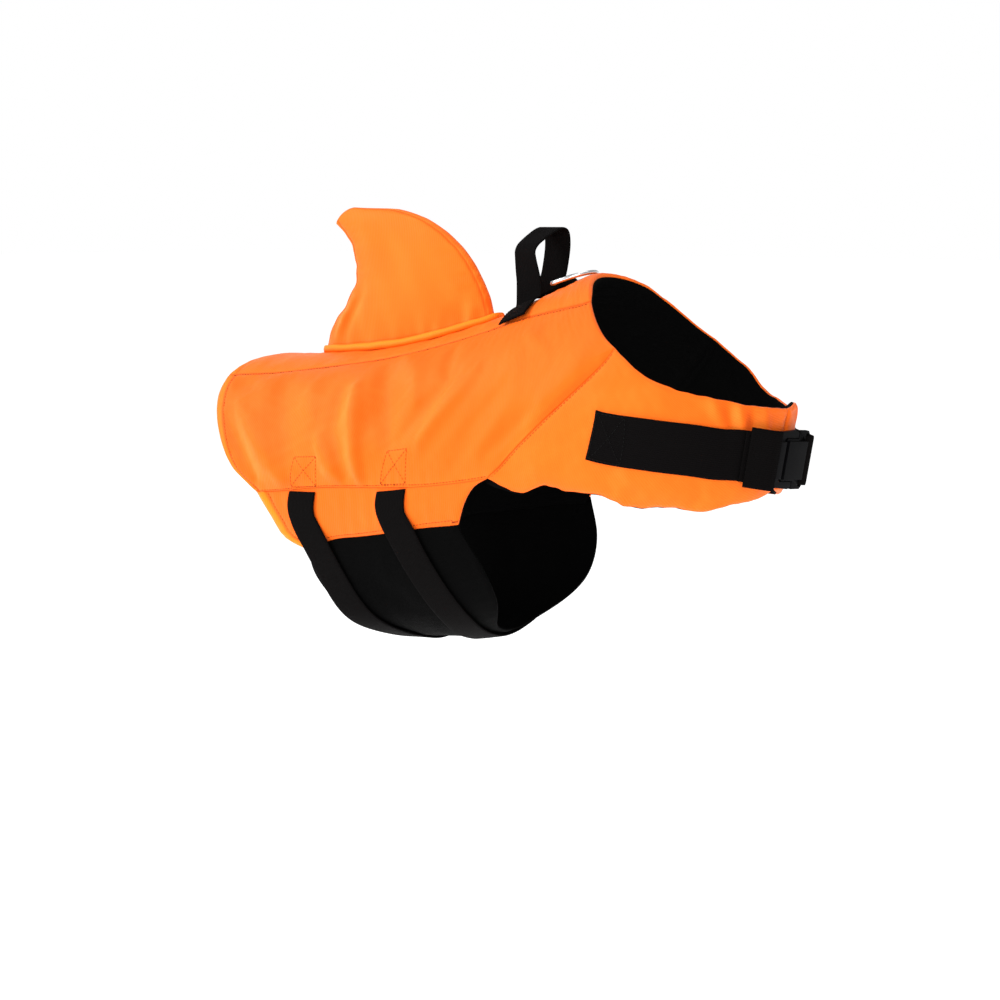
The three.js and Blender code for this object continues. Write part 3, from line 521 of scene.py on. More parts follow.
# Cloth colour with soft uneven dye, painted highlight and painted shade on the slopes of folds, a
# lighter edge band that also carries a painted highlight, and a darker seam
def clothColourGroup():
    group, entry, leave = makeGroup(
        "ClothColour",
        [
            ("Colour", "NodeSocketColor", (0.8, 0.3, 0.1, 1)),
            ("Seam Colour", "NodeSocketColor", (0.5, 0.1, 0.02, 1)),
            ("Edge Band And Highlight Colour", "NodeSocketColor", (0.9, 0.4, 0.1, 1)),
            ("Unevenness", "NodeSocketFloat", 0.3),
            ("Tone", "NodeSocketFloat", 0.5),
            ("Lit Colour", "NodeSocketColor", (0.9, 0.4, 0.1, 1)),
            ("Shade Colour", "NodeSocketColor", (0.6, 0.2, 0.1, 1)),
            ("Gloss", "NodeSocketFloat", 0.4),
            ("Weave", "NodeSocketFloat", 0.18),
        ],
        [("Colour", "NodeSocketColor"), ("Roughness", "NodeSocketFloat")],
    )
    given = entry.outputs
    place = flatPlace(group)[0]
    broad = noiseNode(group, place, 0.016, 2.0)
    fine = noiseNode(group, place, 0.35, 3.0, 0.6)
    uneven = times(group, mathNode(group, "SUBTRACT", broad, 0.5), given["Unevenness"])
    woven = times(group, mathNode(group, "SUBTRACT", given["Tone"], 0.6), given["Weave"])
    scale = group.nodes.new("ShaderNodeVectorMath")
    scale.operation = "SCALE"
    level = plus(group, plus(group, 1.0, uneven), woven)
    feed(group, scale, {0: given["Colour"], "Scale": level})
    # Painted highlight on the slopes of folds that face the light and painted shade on the others,
    # as satin looks under the lamps
    tone = attributeNode(group, "paintedFoldLight").outputs["Fac"]
    lit = mathNode(group, "MAXIMUM", tone, 0.0)
    shaded = mathNode(group, "MAXIMUM", times(group, tone, -1.0), 0.0)
    edge = attributeNode(group, "edgeBandAndHighlight").outputs["Fac"]
    seam = times(group, attributeNode(group, "seamMark").outputs["Fac"], 0.85)
    colour = mixColour(group, lit, scale.outputs[0], given["Lit Colour"])
    colour = mixColour(group, shaded, colour, given["Shade Colour"])
    colour = mixColour(group, edge, colour, given["Edge Band And Highlight Colour"])
    colour = mixColour(group, seam, colour, given["Seam Colour"])
    roughness = plus(group, given["Gloss"], times(group, fine, 0.2))
    feed(group, leave, {"Colour": colour, "Roughness": roughness})
    return group


# Narrow woven ribs that run along a strap, crossed by the weft
def webbingGroup():
    group, entry, leave = makeGroup(
        "WebbingWeave",
        [("Rib", "NodeSocketFloat", 1.5), ("Weft", "NodeSocketFloat", 1.1)],
        [("Height", "NodeSocketFloat"), ("Tone", "NodeSocketFloat")],
    )
    place, x, y = flatPlace(group)
    across = mathNode(group, "DIVIDE", times(group, y, fullTurn), entry.outputs["Rib"])
    along = mathNode(group, "DIVIDE", times(group, x, fullTurn), entry.outputs["Weft"])
    half = times(group, across, 0.5)
    ribs = mathNode(group, "ABSOLUTE", mathNode(group, "SINE", half))
    weft = mathNode(group, "SINE", plus(group, along, half))
    height = plus(group, times(group, ribs, 0.6), times(group, weft, 0.2))
    fuzz = noiseNode(group, place, 1.4, 2.0)
    tone = plus(group, times(group, height, 0.5), times(group, fuzz, 0.4))
    feed(group, leave, {"Height": height, "Tone": tone})
    return group


shared = {"woven": wovenGroup(), "cloth": clothColourGroup(), "webbing": webbingGroup()}


def newMaterial(name):
    material = bpy.data.materials.new(name)
    material.use_nodes = True
    return material, material.node_tree, material.node_tree.nodes["Principled BSDF"]


def groupNode(tree, kind, values):
    node = tree.nodes.new("ShaderNodeGroup")
    node.node_tree = shared[kind]
    feed(tree, node, values)
    return node.outputs


def addBump(tree, shader, height, strength, distance):
    bump = tree.nodes.new("ShaderNodeBump")
    feed(tree, bump, {"Strength": strength, "Distance": distance, "Height": height})
    feed(tree, shader, {"Normal": bump.outputs["Normal"]})


def objectPlace(tree):
    return tree.nodes.new("ShaderNodeTexCoord").outputs["Object"]


def clothMaterial(name, look, finish, thread, slant, bump, unevenness):
    material, tree, shader = newMaterial(name)
    woven = groupNode(tree, "woven", {"Thread": thread, "Slant": slant})
    dyed = groupNode(tree, "cloth", {
        "Colour": look["colour"],
        "Seam Colour": look["seam"],
        "Edge Band And Highlight Colour": look["edge"],
        "Lit Colour": look["lit"],
        "Shade Colour": look["shade"],
        "Unevenness": unevenness,
        "Gloss": finish["gloss"],
        "Tone": woven["Tone"],
    })
    addBump(tree, shader, woven["Height"], bump, 0.0004)
    feed(tree, shader, {
        "Base Color": dyed["Colour"],
        "Roughness": dyed["Roughness"],
        "Sheen Weight": finish["sheen"],
        "Sheen Roughness": 0.45,
        "Sheen Tint": look["edge"],
        "Specular IOR Level": finish["specular"],
        "Specular Tint": finish["tint"],
        "IOR": finish["ior"],
    })
    return material


def webbingMaterial(name, dark, light):
    material, tree, shader = newMaterial(name)
    weave = groupNode(tree, "webbing", {})
    addBump(tree, shader, weave["Height"], 0.6, 0.0005)
    colour = mixColour(tree, weave["Tone"], dark, light)
    feed(tree, shader, {"Base Color": colour, "Roughness": 0.75, "IOR": 1.09})
    return material


def plasticMaterial(name, dark, light, roughness):
    material, tree, shader = newMaterial(name)
    place = objectPlace(tree)
    smear = noiseNode(tree, place, 60, 3.0, 0.6)
    addBump(tree, shader, noiseNode(tree, place, 1500, 2.0), 0.15, 0.0002)
    feed(tree, shader, {
        "Base Color": mixColour(tree, smear, dark, light),
        "Roughness": plus(tree, roughness, times(tree, smear, 0.2)),
        "Specular IOR Level": 0.2,
        "IOR": 1.18,
    })
    return material


def steelMaterial(name, dark, light):
    material, tree, shader = newMaterial(name)
    scratch = noiseNode(tree, objectPlace(tree), 700, 4.0, 0.7)
    feed(tree, shader, {
        "Base Color": mixColour(tree, scratch, dark, light),
        "Roughness": plus(tree, 0.16, times(tree, scratch, 0.2)),
        "Metallic": 1.0,
    })
    return material


def threadMaterial(name, dark, light):
    material, tree, shader = newMaterial(name)
    fibre = noiseNode(tree, objectPlace(tree), 900, 2.0)
    colour = mixColour(tree, fibre, dark, light)
    feed(tree, shader, {"Base Color": colour, "Roughness": 0.6, "IOR": 1.2})
    return material


# Each look's lit and shade colours are the painted highlight and painted shade on the slopes of
# folds, and brightLook's edge colour is also the painted highlight along the fin base's piping
orangeLook = {
    "colour": rgba(250, 109, 30),
    "seam": rgba(188, 62, 10),
    "edge": rgba(251, 116, 31),
    "lit": rgba(255, 138, 52),
    "shade": rgba(240, 90, 18),
}
brightLook = {
    "colour": rgba(250, 104, 28),
    "seam": rgba(196, 74, 12),
    "edge": rgba(253, 130, 30),
    "lit": rgba(255, 138, 44),
    "shade": rgba(244, 96, 20),
}
darkLook = {
    "colour": rgba(5, 5, 5),
    "seam": rgba(3, 3, 3),
    "edge": rgba(10, 10, 10),
    "lit": rgba(12, 12, 12),
    "shade": rgba(4, 4, 4),
}
satin = {"sheen": 0.04, "specular": 0.4, "gloss": 0.38, "tint": rgba(255, 150, 70), "ior": 1.4}
matt = {"sheen": 0.0, "specular": 0.3, "gloss": 0.6, "tint": rgba(255, 255, 255), "ior": 1.09}
plasticLook = {"dark": rgba(5, 5, 6)}
plasticLook["light"] = (*(1.9 * value for value in plasticLook["dark"][:3]), 1.0)
materials = {
    "orange": clothMaterial("OrangeCloth", orangeLook, satin, 1.7, 0.12, 0.4, 0.12),
    "bright": clothMaterial("BrightOrangeCloth", brightLook, satin, 1.7, 0.12, 0.4, 0.08),
    "dark": clothMaterial("DarkCloth", darkLook, matt, 0.9, 1.0, 0.4, 0.5),
    "webbing": webbingMaterial("DarkWebbing", rgba(6, 5, 5), rgba(14, 12, 12)),
    "plastic": plasticMaterial("DarkPlastic", plasticLook["dark"], plasticLook["light"], 0.42),
    "steel": steelMaterial("PlatedSteel", (0.62, 0.63, 0.65, 1), (0.82, 0.83, 0.84, 1)),
    "orangeThread": threadMaterial("OrangeThread", rgba(104, 36, 7), rgba(156, 62, 14)),
    "darkThread": threadMaterial("DarkThread", rgba(6, 6, 6), rgba(13, 12, 12)),
}
print("materials made")


# Panels

# Folds as lines on the cloth from (place, turn) to (place, turn). A ridge is positive. width is
# how far it spreads.
sideFolds = [
    {"line": [(0.64, 52), (1.06, 73), (1.33, 87)], "width": 9, "height": 1.5},
    {"line": [(0.5, 60), (0.8, 74), (1.02, 85)], "width": 7, "height": -1.3},
    {"line": [(1.1, 40), (1.28, 58), (1.42, 74)], "width": 13, "height": -1.8},
    {"line": [(1.44, 42), (1.56, 60)], "width": 8, "height": 0.8},
    {"line": [(1.68, 70), (1.94, 88)], "width": 6, "height": 1.2},
    {"line": [(1.78, 46), (1.83, 66), (2.02, 84)], "width": 7, "height": -1.3},
    {"line": [(1.93, 45), (2.1, 70), (2.18, 87)], "width": 6.5, "height": 1.7},
    {"line": [(2.16, 36), (2.38, 57), (2.52, 73)], "width": 11, "height": -2.1},
    {"line": [(2.3, 28), (2.62, 44), (2.76, 58)], "width": 8, "height": 1.2},
    {"line": [(2.95, 31), (3.1, 50)], "width": 7, "height": -1.1},
    {"line": [(2.9, 76), (3.12, 66), (3.52, 53)], "width": 8, "height": 1.7},
    {"line": [(2.66, 72), (2.88, 62), (3.2, 50)], "width": 9, "height": -1.3},
    {"line": [(3.3, 84), (3.62, 72), (3.98, 64)], "width": 9, "height": -0.9},
    {"line": [(3.66, 85), (3.94, 80), (4.3, 76)], "width": 6, "height": -1.3},
    {"line": [(4.2, 78), (4.8, 70), (5.3, 66)], "width": 9, "height": 0.9},
    {"line": [(4.3, 42), (4.65, 56)], "width": 7, "height": 0.7},
    {"line": [(0.4, 35), (0.75, 42)], "width": 8, "height": -0.8},
]
frontFolds = [
    {"line": [(5.97, 128), (5.72, 136)], "width": 5, "height": 1.95},
    {"line": [(5.97, 136), (5.7, 143)], "width": 4, "height": -1.95},
    {"line": [(5.98, 143), (5.7, 149)], "width": 4.5, "height": 2.25},
    {"line": [(5.99, 150), (5.72, 155)], "width": 4, "height": -1.8},
    {"line": [(6.0, 158), (5.72, 163)], "width": 4.5, "height": 1.8},
    {"line": [(5.4, 160), (5.28, 166)], "width": 5, "height": 0.8},
    {"line": [(5.72, 104), (5.45, 112)], "width": 7, "height": 0.7},
    {"line": [(4.06, 90), (4.35, 104)], "width": 7, "height": 0.8},
    {"line": [(4.3, 86), (4.6, 98), (4.72, 112)], "width": 9, "height": -0.8},
    {"line": [(4.62, 118), (4.86, 110)], "width": 5, "height": 0.7},
    {"line": [(4.95, 140), (5.16, 134)], "width": 5, "height": -0.7},
    {"line": [(5.15, 84), (5.5, 96)], "width": 10, "height": -0.7},
]
topFolds = [
    {"line": [(3.0, 22), (3.28, 12)], "width": 5, "height": 1.0},
    {"line": [(2.86, 16), (3.14, 6)], "width": 4, "height": -0.9},
    {"line": [(3.3, -20), (3.05, -12)], "width": 5, "height": 0.9},
    {"line": [(0.5, 20), (0.85, 6), (0.9, -8)], "width": 8, "height": -1.0},
    {"line": [(0.75, 24), (1.0, 16)], "width": 6, "height": 0.9},
    {"line": [(4.3, 26), (4.6, 20)], "width": 6, "height": 0.6},
    {"line": [(4.35, -27), (4.7, -20)], "width": 6, "height": 0.6},
]
bellyFolds = [
    {"line": [(1.8, 118), (2.2, 140), (2.6, 158)], "width": 8, "height": 1.0},
    {"line": [(2.3, 112), (2.55, 132)], "width": 7, "height": -0.9},
    {"line": [(2.9, 110), (3.1, 126), (3.1, 146)], "width": 7, "height": 0.9},
    {"line": [(1.9, 150), (2.5, 168), (3.0, 178)], "width": 9, "height": -1.0},
    {"line": [(2.1, 190), (2.6, 205), (3.0, 226)], "width": 8, "height": 1.0},
    {"line": [(2.2, 235), (2.6, 224)], "width": 7, "height": -0.9},
]
cadFolds = [
    (0.72, 68, 0.012, 15, 20, -2.0),
    (1.62, 58, 0.002, 16, 24, -2.4),
    (2.05, 62, -0.003, 14, 22, 1.6),
    (2.52, 55, 0.003, 16, 20, -2.0),
    (3.25, 66, -0.02, 15, 18, -1.6),
    (4.1, 52, -0.006, 18, 18, 1.2),
]


# Height of soft folds at chart points: each is steeper on one side and fades towards its ends.
def foldHeight(chart, folds, shift=(0, 0), scale=1.0):
    total = np.zeros(chart.shape[:-1])
    for fold in folds:
        path = (np.array(fold["line"], float) + shift) * (placeLength, turnLength)
        lengths = np.linalg.norm(np.diff(path, axis=0), axis=1)
        whole = lengths.sum()
        best = np.full(total.shape, 1e9)
        value = np.zeros(total.shape)
        gone = 0.0
        for k, length in enumerate(lengths):
            run = (path[k + 1] - path[k]) / length
            offset = chart - path[k]
            along = offset @ run
            held = np.clip(along, 0, length)
            beside = offset[..., 0] * -run[1] + offset[..., 1] * run[0]
            past = along - held
            share = (gone + held) / whole
            width = fold["width"] * (0.75 + 0.5 * np.sin(math.pi * share))
            distance = (beside**2 + past**2) / width**2
            lean = 1 + 0.35 * np.tanh(beside / width)
            fade = np.sin(math.pi * np.clip(0.12 + 0.76 * share, 0, 1)) ** 0.8
            here = np.exp(-distance) * lean * fade
            closer = distance < best
            best = np.where(closer, distance, best)
            value = np.where(closer, here, value)
            gone += length
        total = total + fold["height"] * scale * value
    return total


def cadFoldHeight(chart):
    place = chart[..., 0] / placeLength
    turn = chart[..., 1] / turnLength
    total = np.zeros(place.shape)
    for foldPlace, foldTurn, lean, width, run, height in cadFolds:
        across = (place - foldPlace - lean * (turn - foldTurn)) * placeLength / width
        total = total + height * np.exp(-(across**2) - ((turn - foldTurn) / run) ** 2)
    return total


# How far the slopes of a relief on a grid face the rear and the top, from -1 to 1: the share of
# painted highlight where above 0 and of painted shade where below 0.
def paintedFoldLight(relief, x, y):
    slopes = []
    for axis in (0, 1):
        length = np.hypot(np.gradient(x, axis=axis), np.gradient(y, axis=axis))
        slopes.append(np.gradient(relief, axis=axis) / np.maximum(length, 1e-3))
    return np.clip(paintedLightLook["along"] * slopes[0] + paintedLightLook["down"] * slopes[1], -0.9, 0.9)


# How strongly fold slopes along and down the cloth are painted lighter and darker, and how much
# painted shade darkens the middle of each side panel
paintedLightLook = {"along": 1.6, "down": 0.5, "depth": 0.3}
panelLook = {
    "softReach": 12,
    "broadFold": 0.75,
    "sideFold": 2.4,
    "lowEdgeWave": 1.3,
    "pucker": 0.45,
    "puckerReach": 9,
    "wrinkle": 0.28,
    "fineWrinkle": 0.12,
    "rearBand": 8.5,
    "sag": 13,
}
# Edges in the order rear, front, first and last: how deep each rolls in, how far, and how dark
# its seam is
seamLook = {
    "top": [(0.9, 1.8, 0.1), (0.9, 1.8, 0.1), (0.8, 1.5, 0.6), (0.8, 1.5, 0.6)],
    "side": [(0.9, 1.8, 0.1), (0.4, 1.1, 0.45), (0.8, 1.5, 0.6), (-0.25, 1.3, 0.3)],
    "band": [(0.9, 1.8, 0.1), (0.9, 1.8, 0.1), (0.12, 1.0, 0.25), (0.8, 1.6, 0.15)],
    "front": [(0.4, 1.1, 0.45), (0.9, 1.8, 0.2), (0.9, 1.8, 0.12), (0.9, 1.8, 0.12)],
    "belly": [(0.5, 1.5, 0.3), (0.5, 1.5, 0.3), (0.4, 1.5, 0.3), (0.4, 1.5, 0.3)],
}


# Outer and inner points of a panel on a fine grid, with its flat places and its marks.
def panelGrid(kind, side, shareAlong, shareDown):
    long, wide = panelSize(kind)
    build = panelBuild[kind]
    inset = 0.06
    shape = (len(shareAlong), len(shareDown))
    along = inset / long + (1 - 2 * inset / long) * shareAlong[:, None] * np.ones(shape)
    down = inset / wide + (1 - 2 * inset / wide) * shareDown[None, :] * np.ones(shape)
    chart = patches[kind](along, down + edgeShift(kind, side, along, down))
    ends = [shareAlong[:, None] * long, (1 - shareAlong[:, None]) * long]
    edges = [shareDown[None, :] * wide, (1 - shareDown[None, :]) * wide]
    ends = [np.broadcast_to(e, chart.shape[:2]) for e in ends]
    edges = [np.broadcast_to(e, chart.shape[:2]) for e in edges]
    nearest = np.minimum.reduce(ends + edges)
    share = np.clip(nearest / build["reach"], 0, 1)
    full = share * (2 - share)
    height = build["swell"] * full
    seed = {"top": 1, "side": 2, "band": 3, "front": 4, "belly": 5}[kind] * 10 + (side > 0)
    shift = (0.0, 0.0) if side < 0 else (0.13, 2.5)
    otherSide = 1.0 if side < 0 else 0.85
    softFull = np.clip(nearest / panelLook["softReach"], 0, 1)
    softFull = softFull * (2 - softFull)
    plain = height
    if kind == "side":
        height = height + cadFoldHeight(chart) * full * panelLook["broadFold"]
        folds = foldHeight(chart, sideFolds, shift, otherSide)
        height = height + panelLook["sideFold"] * folds * softFull
    if kind == "front":
        folds = foldHeight(chart, frontFolds, shift, otherSide)
        height = height + folds * (0.35 + 0.65 * softFull)
        low = np.clip((down - 0.7) / 0.3, 0, 1) ** 2
        wave = ripple(chart[..., 0], 0 * low, 61 + side, 27)
        height = height + panelLook["lowEdgeWave"] * low * wave
    if kind in ("top", "belly"):
        height = height + foldHeight(chart, topFolds if kind == "top" else bellyFolds) * softFull
    x, y = chart[..., 0], chart[..., 1]
    wrinkle = panelLook["wrinkle"] * (0.5 if kind in ("band", "belly") else 1)
    height = height + wrinkle * ripple(x, y * 0.8, seed, 34) * softFull
    height = height + panelLook["fineWrinkle"] * ripple(x, y, seed + 100, 11) * softFull
    # Painted highlight and painted shade on the slopes of the folds, with extra painted shade over
    # the middle of the side panels
    tone = paintedFoldLight(height - plain, x, y) - paintedLightLook["depth"] * softFull * (kind == "side")
    lengthwise = np.minimum(*edges) <= np.minimum(*ends)
    runs = np.where(lengthwise, x, y)
    pull = np.exp(-nearest / panelLook["puckerReach"]) * (1 - np.exp(-nearest / 1.5))
    short = ripple(runs, nearest * 0.15, seed + 200, 9)
    height = height + panelLook["pucker"] * pull * (short - 0.3)
    seam = np.zeros(nearest.shape)
    roll = np.zeros(nearest.shape)
    for distance, (depth, width, dark) in zip(ends + edges, seamLook[kind]):
        if kind == "side" and distance is ends[1]:
            onNeck = np.clip((neckShare + 0.02 - down) / 0.02, 0, 1)
            depth = depth + 0.6 * onNeck
            dark = dark * (1 - 0.8 * onNeck)
        here = depth * bell(distance, 0, width)
        roll = np.where(np.abs(here) > np.abs(roll), here, roll)
        seam = np.maximum(seam, dark * bell(distance, 0, 0.9))
    height = height - roll
    band = np.zeros(nearest.shape)
    if kind in ("side", "band", "top"):
        rear = ends[0]
        bandWidth = panelLook["rearBand"]
        inBand = np.clip(1 - np.abs(rear / bandWidth * 2 - 1), 0, 1)
        rounded = np.minimum(height, 0.4) + 0.9 * inBand**0.5 - 0.4
        height = np.where(rear < bandWidth, rounded, height)
        groove = bell(rear, bandWidth, 1.0)
        height = height - 0.6 * groove
        band = np.clip((bandWidth - rear) / 0.8 + 0.5, 0, 1)
        seam = np.maximum(seam, 0.6 * groove)
    inner = -build["seamWall"] - (build["foamWall"] - build["seamWall"]) * full
    inner = np.minimum(inner, height - 1.1)
    place, turn = x / placeLength, side * y / turnLength
    outerPoints = clothPoint(place, turn, height)
    innerPoints = clothPoint(place, turn, inner)
    return outerPoints, innerPoints, chart, {"seamMark": seam, "edgeBandAndHighlight": band, "paintedFoldLight": tone}


# How far free edges wave and sag, as a share of the panel's width.
def edgeShift(kind, side, along, down):
    if kind != "front":
        return np.zeros(down.shape)
    long, wide = panelSize("front")
    run = along * long
    low = np.clip((down - 0.6) / 0.4, 0, 1) ** 2
    wave = 1.5 * ripple(run, 0 * run, 43 + side, 24) + 0.7 * ripple(run, 0 * run, 47 + side, 11)
    fade = np.sin(math.pi * np.clip(along, 0.002, 0.998)) ** 0.4
    shift = wave * low * fade
    high = np.clip((0.35 - down) / 0.35, 0, 1) ** 2
    shift = shift + 0.5 * high * fade * ripple(run, 0 * run, 53 + side, 19)
    if side > 0:
        shift = shift + panelLook["sag"] * bell(along, 0.5, 0.22, 4) * high
    return shift / wide


panelSteps = {"top": 2.6, "side": 2.2, "band": 2.4, "front": 2.2, "belly": 3.0}
pieces = {}


def keep(thing, node, body="jacket"):
    pieces[node] = thing
    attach(thing, body)
    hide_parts(node)
    return thing


def addPanel(node, kind, side, material):
    long, wide = panelSize(kind)
    extra = [neckShare] if kind == "side" else []
    shareAlong = edgeShares(long, panelSteps[kind])
    shareDown = edgeShares(wide, panelSteps[kind], extra)
    outer, inner, chart, marks = panelGrid(kind, side, shareAlong, shareDown)
    thing = shell(node + "_cloth", outer, inner, material, chart, marks)
    keep(thing, node)
    return thing, outer


sides = (("right", -1), ("left", 1))
top, grid = addPanel("top_panel", "top", 1, materials["orange"])
for name, side in sides:
    for kind, node, look, slotName, fill in (
        ("side", "side_panel_", "orange", "orange_cloth", 0.7),
        ("band", "lower_band_", "bright", "bright_orange_cloth", 0.4),
        ("front", "front_panel_", "orange", "orange_cloth", 0.5),
    ):
        thing, grid = addPanel(node + name, kind, side, materials[look])
belly, bellyGrid = addPanel("belly_panel", "belly", 1, materials["dark"])
print("panels made")


# Linings

liningLook = {"wall": 1.1, "crease": 0.5}


def liningHeight(kind, side, chart, shareAlong, shareDown):
    long, wide = panelSize(kind)
    build = panelBuild[kind]
    nearest = np.minimum.reduce([
        shareAlong * long, (1 - shareAlong) * long, shareDown * wide, (1 - shareDown) * wide,
    ])
    share = np.clip(nearest / build["reach"], 0, 1)
    full = share * (2 - share)
    base = -build["seamWall"] - (build["foamWall"] - build["seamWall"]) * full - 0.35
    seed = 300 + {"top": 1, "side": 2, "band": 3, "front": 4}[kind] * 7 + (side > 0)
    x, y = chart[..., 0], chart[..., 1]
    crease = ripple(x, y * 0.5, seed, 26) + 0.5 * ripple(x, y, seed + 50, 12)
    return base - liningLook["crease"] * (0.9 + crease) * full


def liningColumn(kind, side, down, shareAlong):
    along = shareAlong
    downs = np.full(along.shape, down)
    chart = patches[kind](along, downs)
    height = liningHeight(kind, side, chart, along, np.clip(downs, 0, 1))
    return chart[:, 0] / placeLength, side * chart[:, 1] / turnLength, height


def addLiningBody():
    shareAlong = np.linspace(0, 1, 130)
    # The first column laps inside the belly panel
    columns = [("band", 1, 1 + 3 / panelSize("band")[1])]
    for k in range(8):
        columns.append(("band", 1, 1 - k / 8))
    for k in range(36):
        columns.append(("side", 1, 1 - k / 36))
    for k in range(33):
        columns.append(("top", 1, k / 32))
    columns = columns + [(kind, -1, down) for kind, side, down in columns[:45]][::-1]
    faces = [liningColumn(kind, side, down, shareAlong) for kind, side, down in columns]
    place = np.stack([face[0] for face in faces], 1)
    turn = np.stack([face[1] for face in faces], 1)
    height = np.stack([face[2] for face in faces], 1)
    outer = clothPoint(place, turn, height)
    inner = clothPoint(place, turn, height - liningLook["wall"])
    thing = shell("lining_body_cloth", outer, inner, materials["dark"])
    keep(thing, "lining_body")


def addLiningFront(name, side):
    long, wide = panelSize("front")
    shareAlong = edgeShares(long, 3.0)
    shareDown = edgeShares(wide, 3.0)
    along = np.broadcast_to(shareAlong[:, None], (len(shareAlong), len(shareDown)))
    # The lower edge of the lining peeps out a little, unevenly, under the orange cloth
    peep = 1.3 + 1.3 * ripple(shareAlong * long, 0 * shareAlong, 71 + side, 38)
    down = shareDown[None, :] * (1 + np.clip(peep, 0.1, 3.0)[:, None] / wide)
    chart = patches["front"](along * 0.9985 + 0.0004, down + edgeShift("front", side, along, down))
    height = liningHeight("front", side, chart, along, np.clip(down, 0, 1))
    # Towards the shoulder it laps under the lining of the body
    lap = 3.5
    behind = patches["front"](np.full(shareDown.shape, -lap / long), shareDown)[None]
    chart = np.concatenate([behind, 2 / 3 * chart[:1] + 1 / 3 * behind, chart])
    height = np.concatenate([height[:1], height[:1], height])
    depth = np.concatenate([[1.35, 1.35], 1.35 * np.clip(1 - shareAlong * long / 2.2, 0, 1)])
    height = height - depth[:, None]
    place, turn = chart[..., 0] / placeLength, side * chart[..., 1] / turnLength
    outer = clothPoint(place, turn, height)
    inner = clothPoint(place, turn, height - liningLook["wall"])
    thing = shell(f"lining_front_{name}_cloth", outer, inner, materials["dark"])
    keep(thing, f"lining_front_{name}")


addLiningBody()
for name, side in sides:
    addLiningFront(name, side)
print("linings made")


# Fin

finRows = [
    (0.0, -230, -42, -56, -8),
    (0.12, -223, -22, -60, 8),
    (0.25, -209, -3, -67, 22),
    (0.38, -198.5, 14, -76, 36),
    (0.5, -196, 26, -88, 49),
    (0.62, -198, 37, -104, 61),
    (0.74, -201, 48, -124, 71),
    (0.86, -209, 58, -152, 78),
    (1.0, -219, 66, -196, 79),
]
finLook = {"halfThickness": 15, "edge": 1.2, "foot": 3.4, "pucker": 0.5}
# A crease up from the rear foot with its trough, and a dent at the front foot: height, x at the
# foot, how far it leans forward, its width, then the rise of its middle and its reach
finFolds = [
    (1.6, -216, 22, 4.5, 0.17, 0.15),
    (-1.5, -207, 22, 6, 0.2, 0.17),
    (-1.6, -84, 0, 9, 0.08, 0.08),
]
finBaseLook = {
    "rearX": -230,
    "frontX": -47,
    "halfWidth": 23.5,
    "endWidth": 3,
    "wall": 1.8,
    "gap": 0.8,
    "piping": 3.0,
}


def finValue(column, rise):
    rises = [row[0] for row in finRows]
    values = np.array([[row[column]] for row in finRows], float)
    fine = smoothRows(values, 12)[:, 0]
    fineRise = np.interp(np.linspace(0, len(rises) - 1, len(fine)), np.arange(len(rises)), rises)
    straight = np.interp(rise, rises, values[:, 0])
    smooth = np.interp(rise, fineRise, fine)
    return 0.35 * straight + 0.65 * smooth


# Points on the back over x and beside, looked up on a fine table of the spine.
def backHeights(xs, besides, out):
    table = np.linspace(-320, 45, 240)
    places = np.array([spinePlace(x) for x in table])
    place = np.interp(xs, table, places)
    half = sectionValue("half", place)
    power = sectionValue("topRound", place) / 2
    sine = np.minimum((np.abs(besides) / half) ** power, 1)
    turn = np.sign(besides) * np.degrees(np.arcsin(sine))
    return clothPoint(place, turn, np.full(place.shape, panelBuild["top"]["swell"] + out))


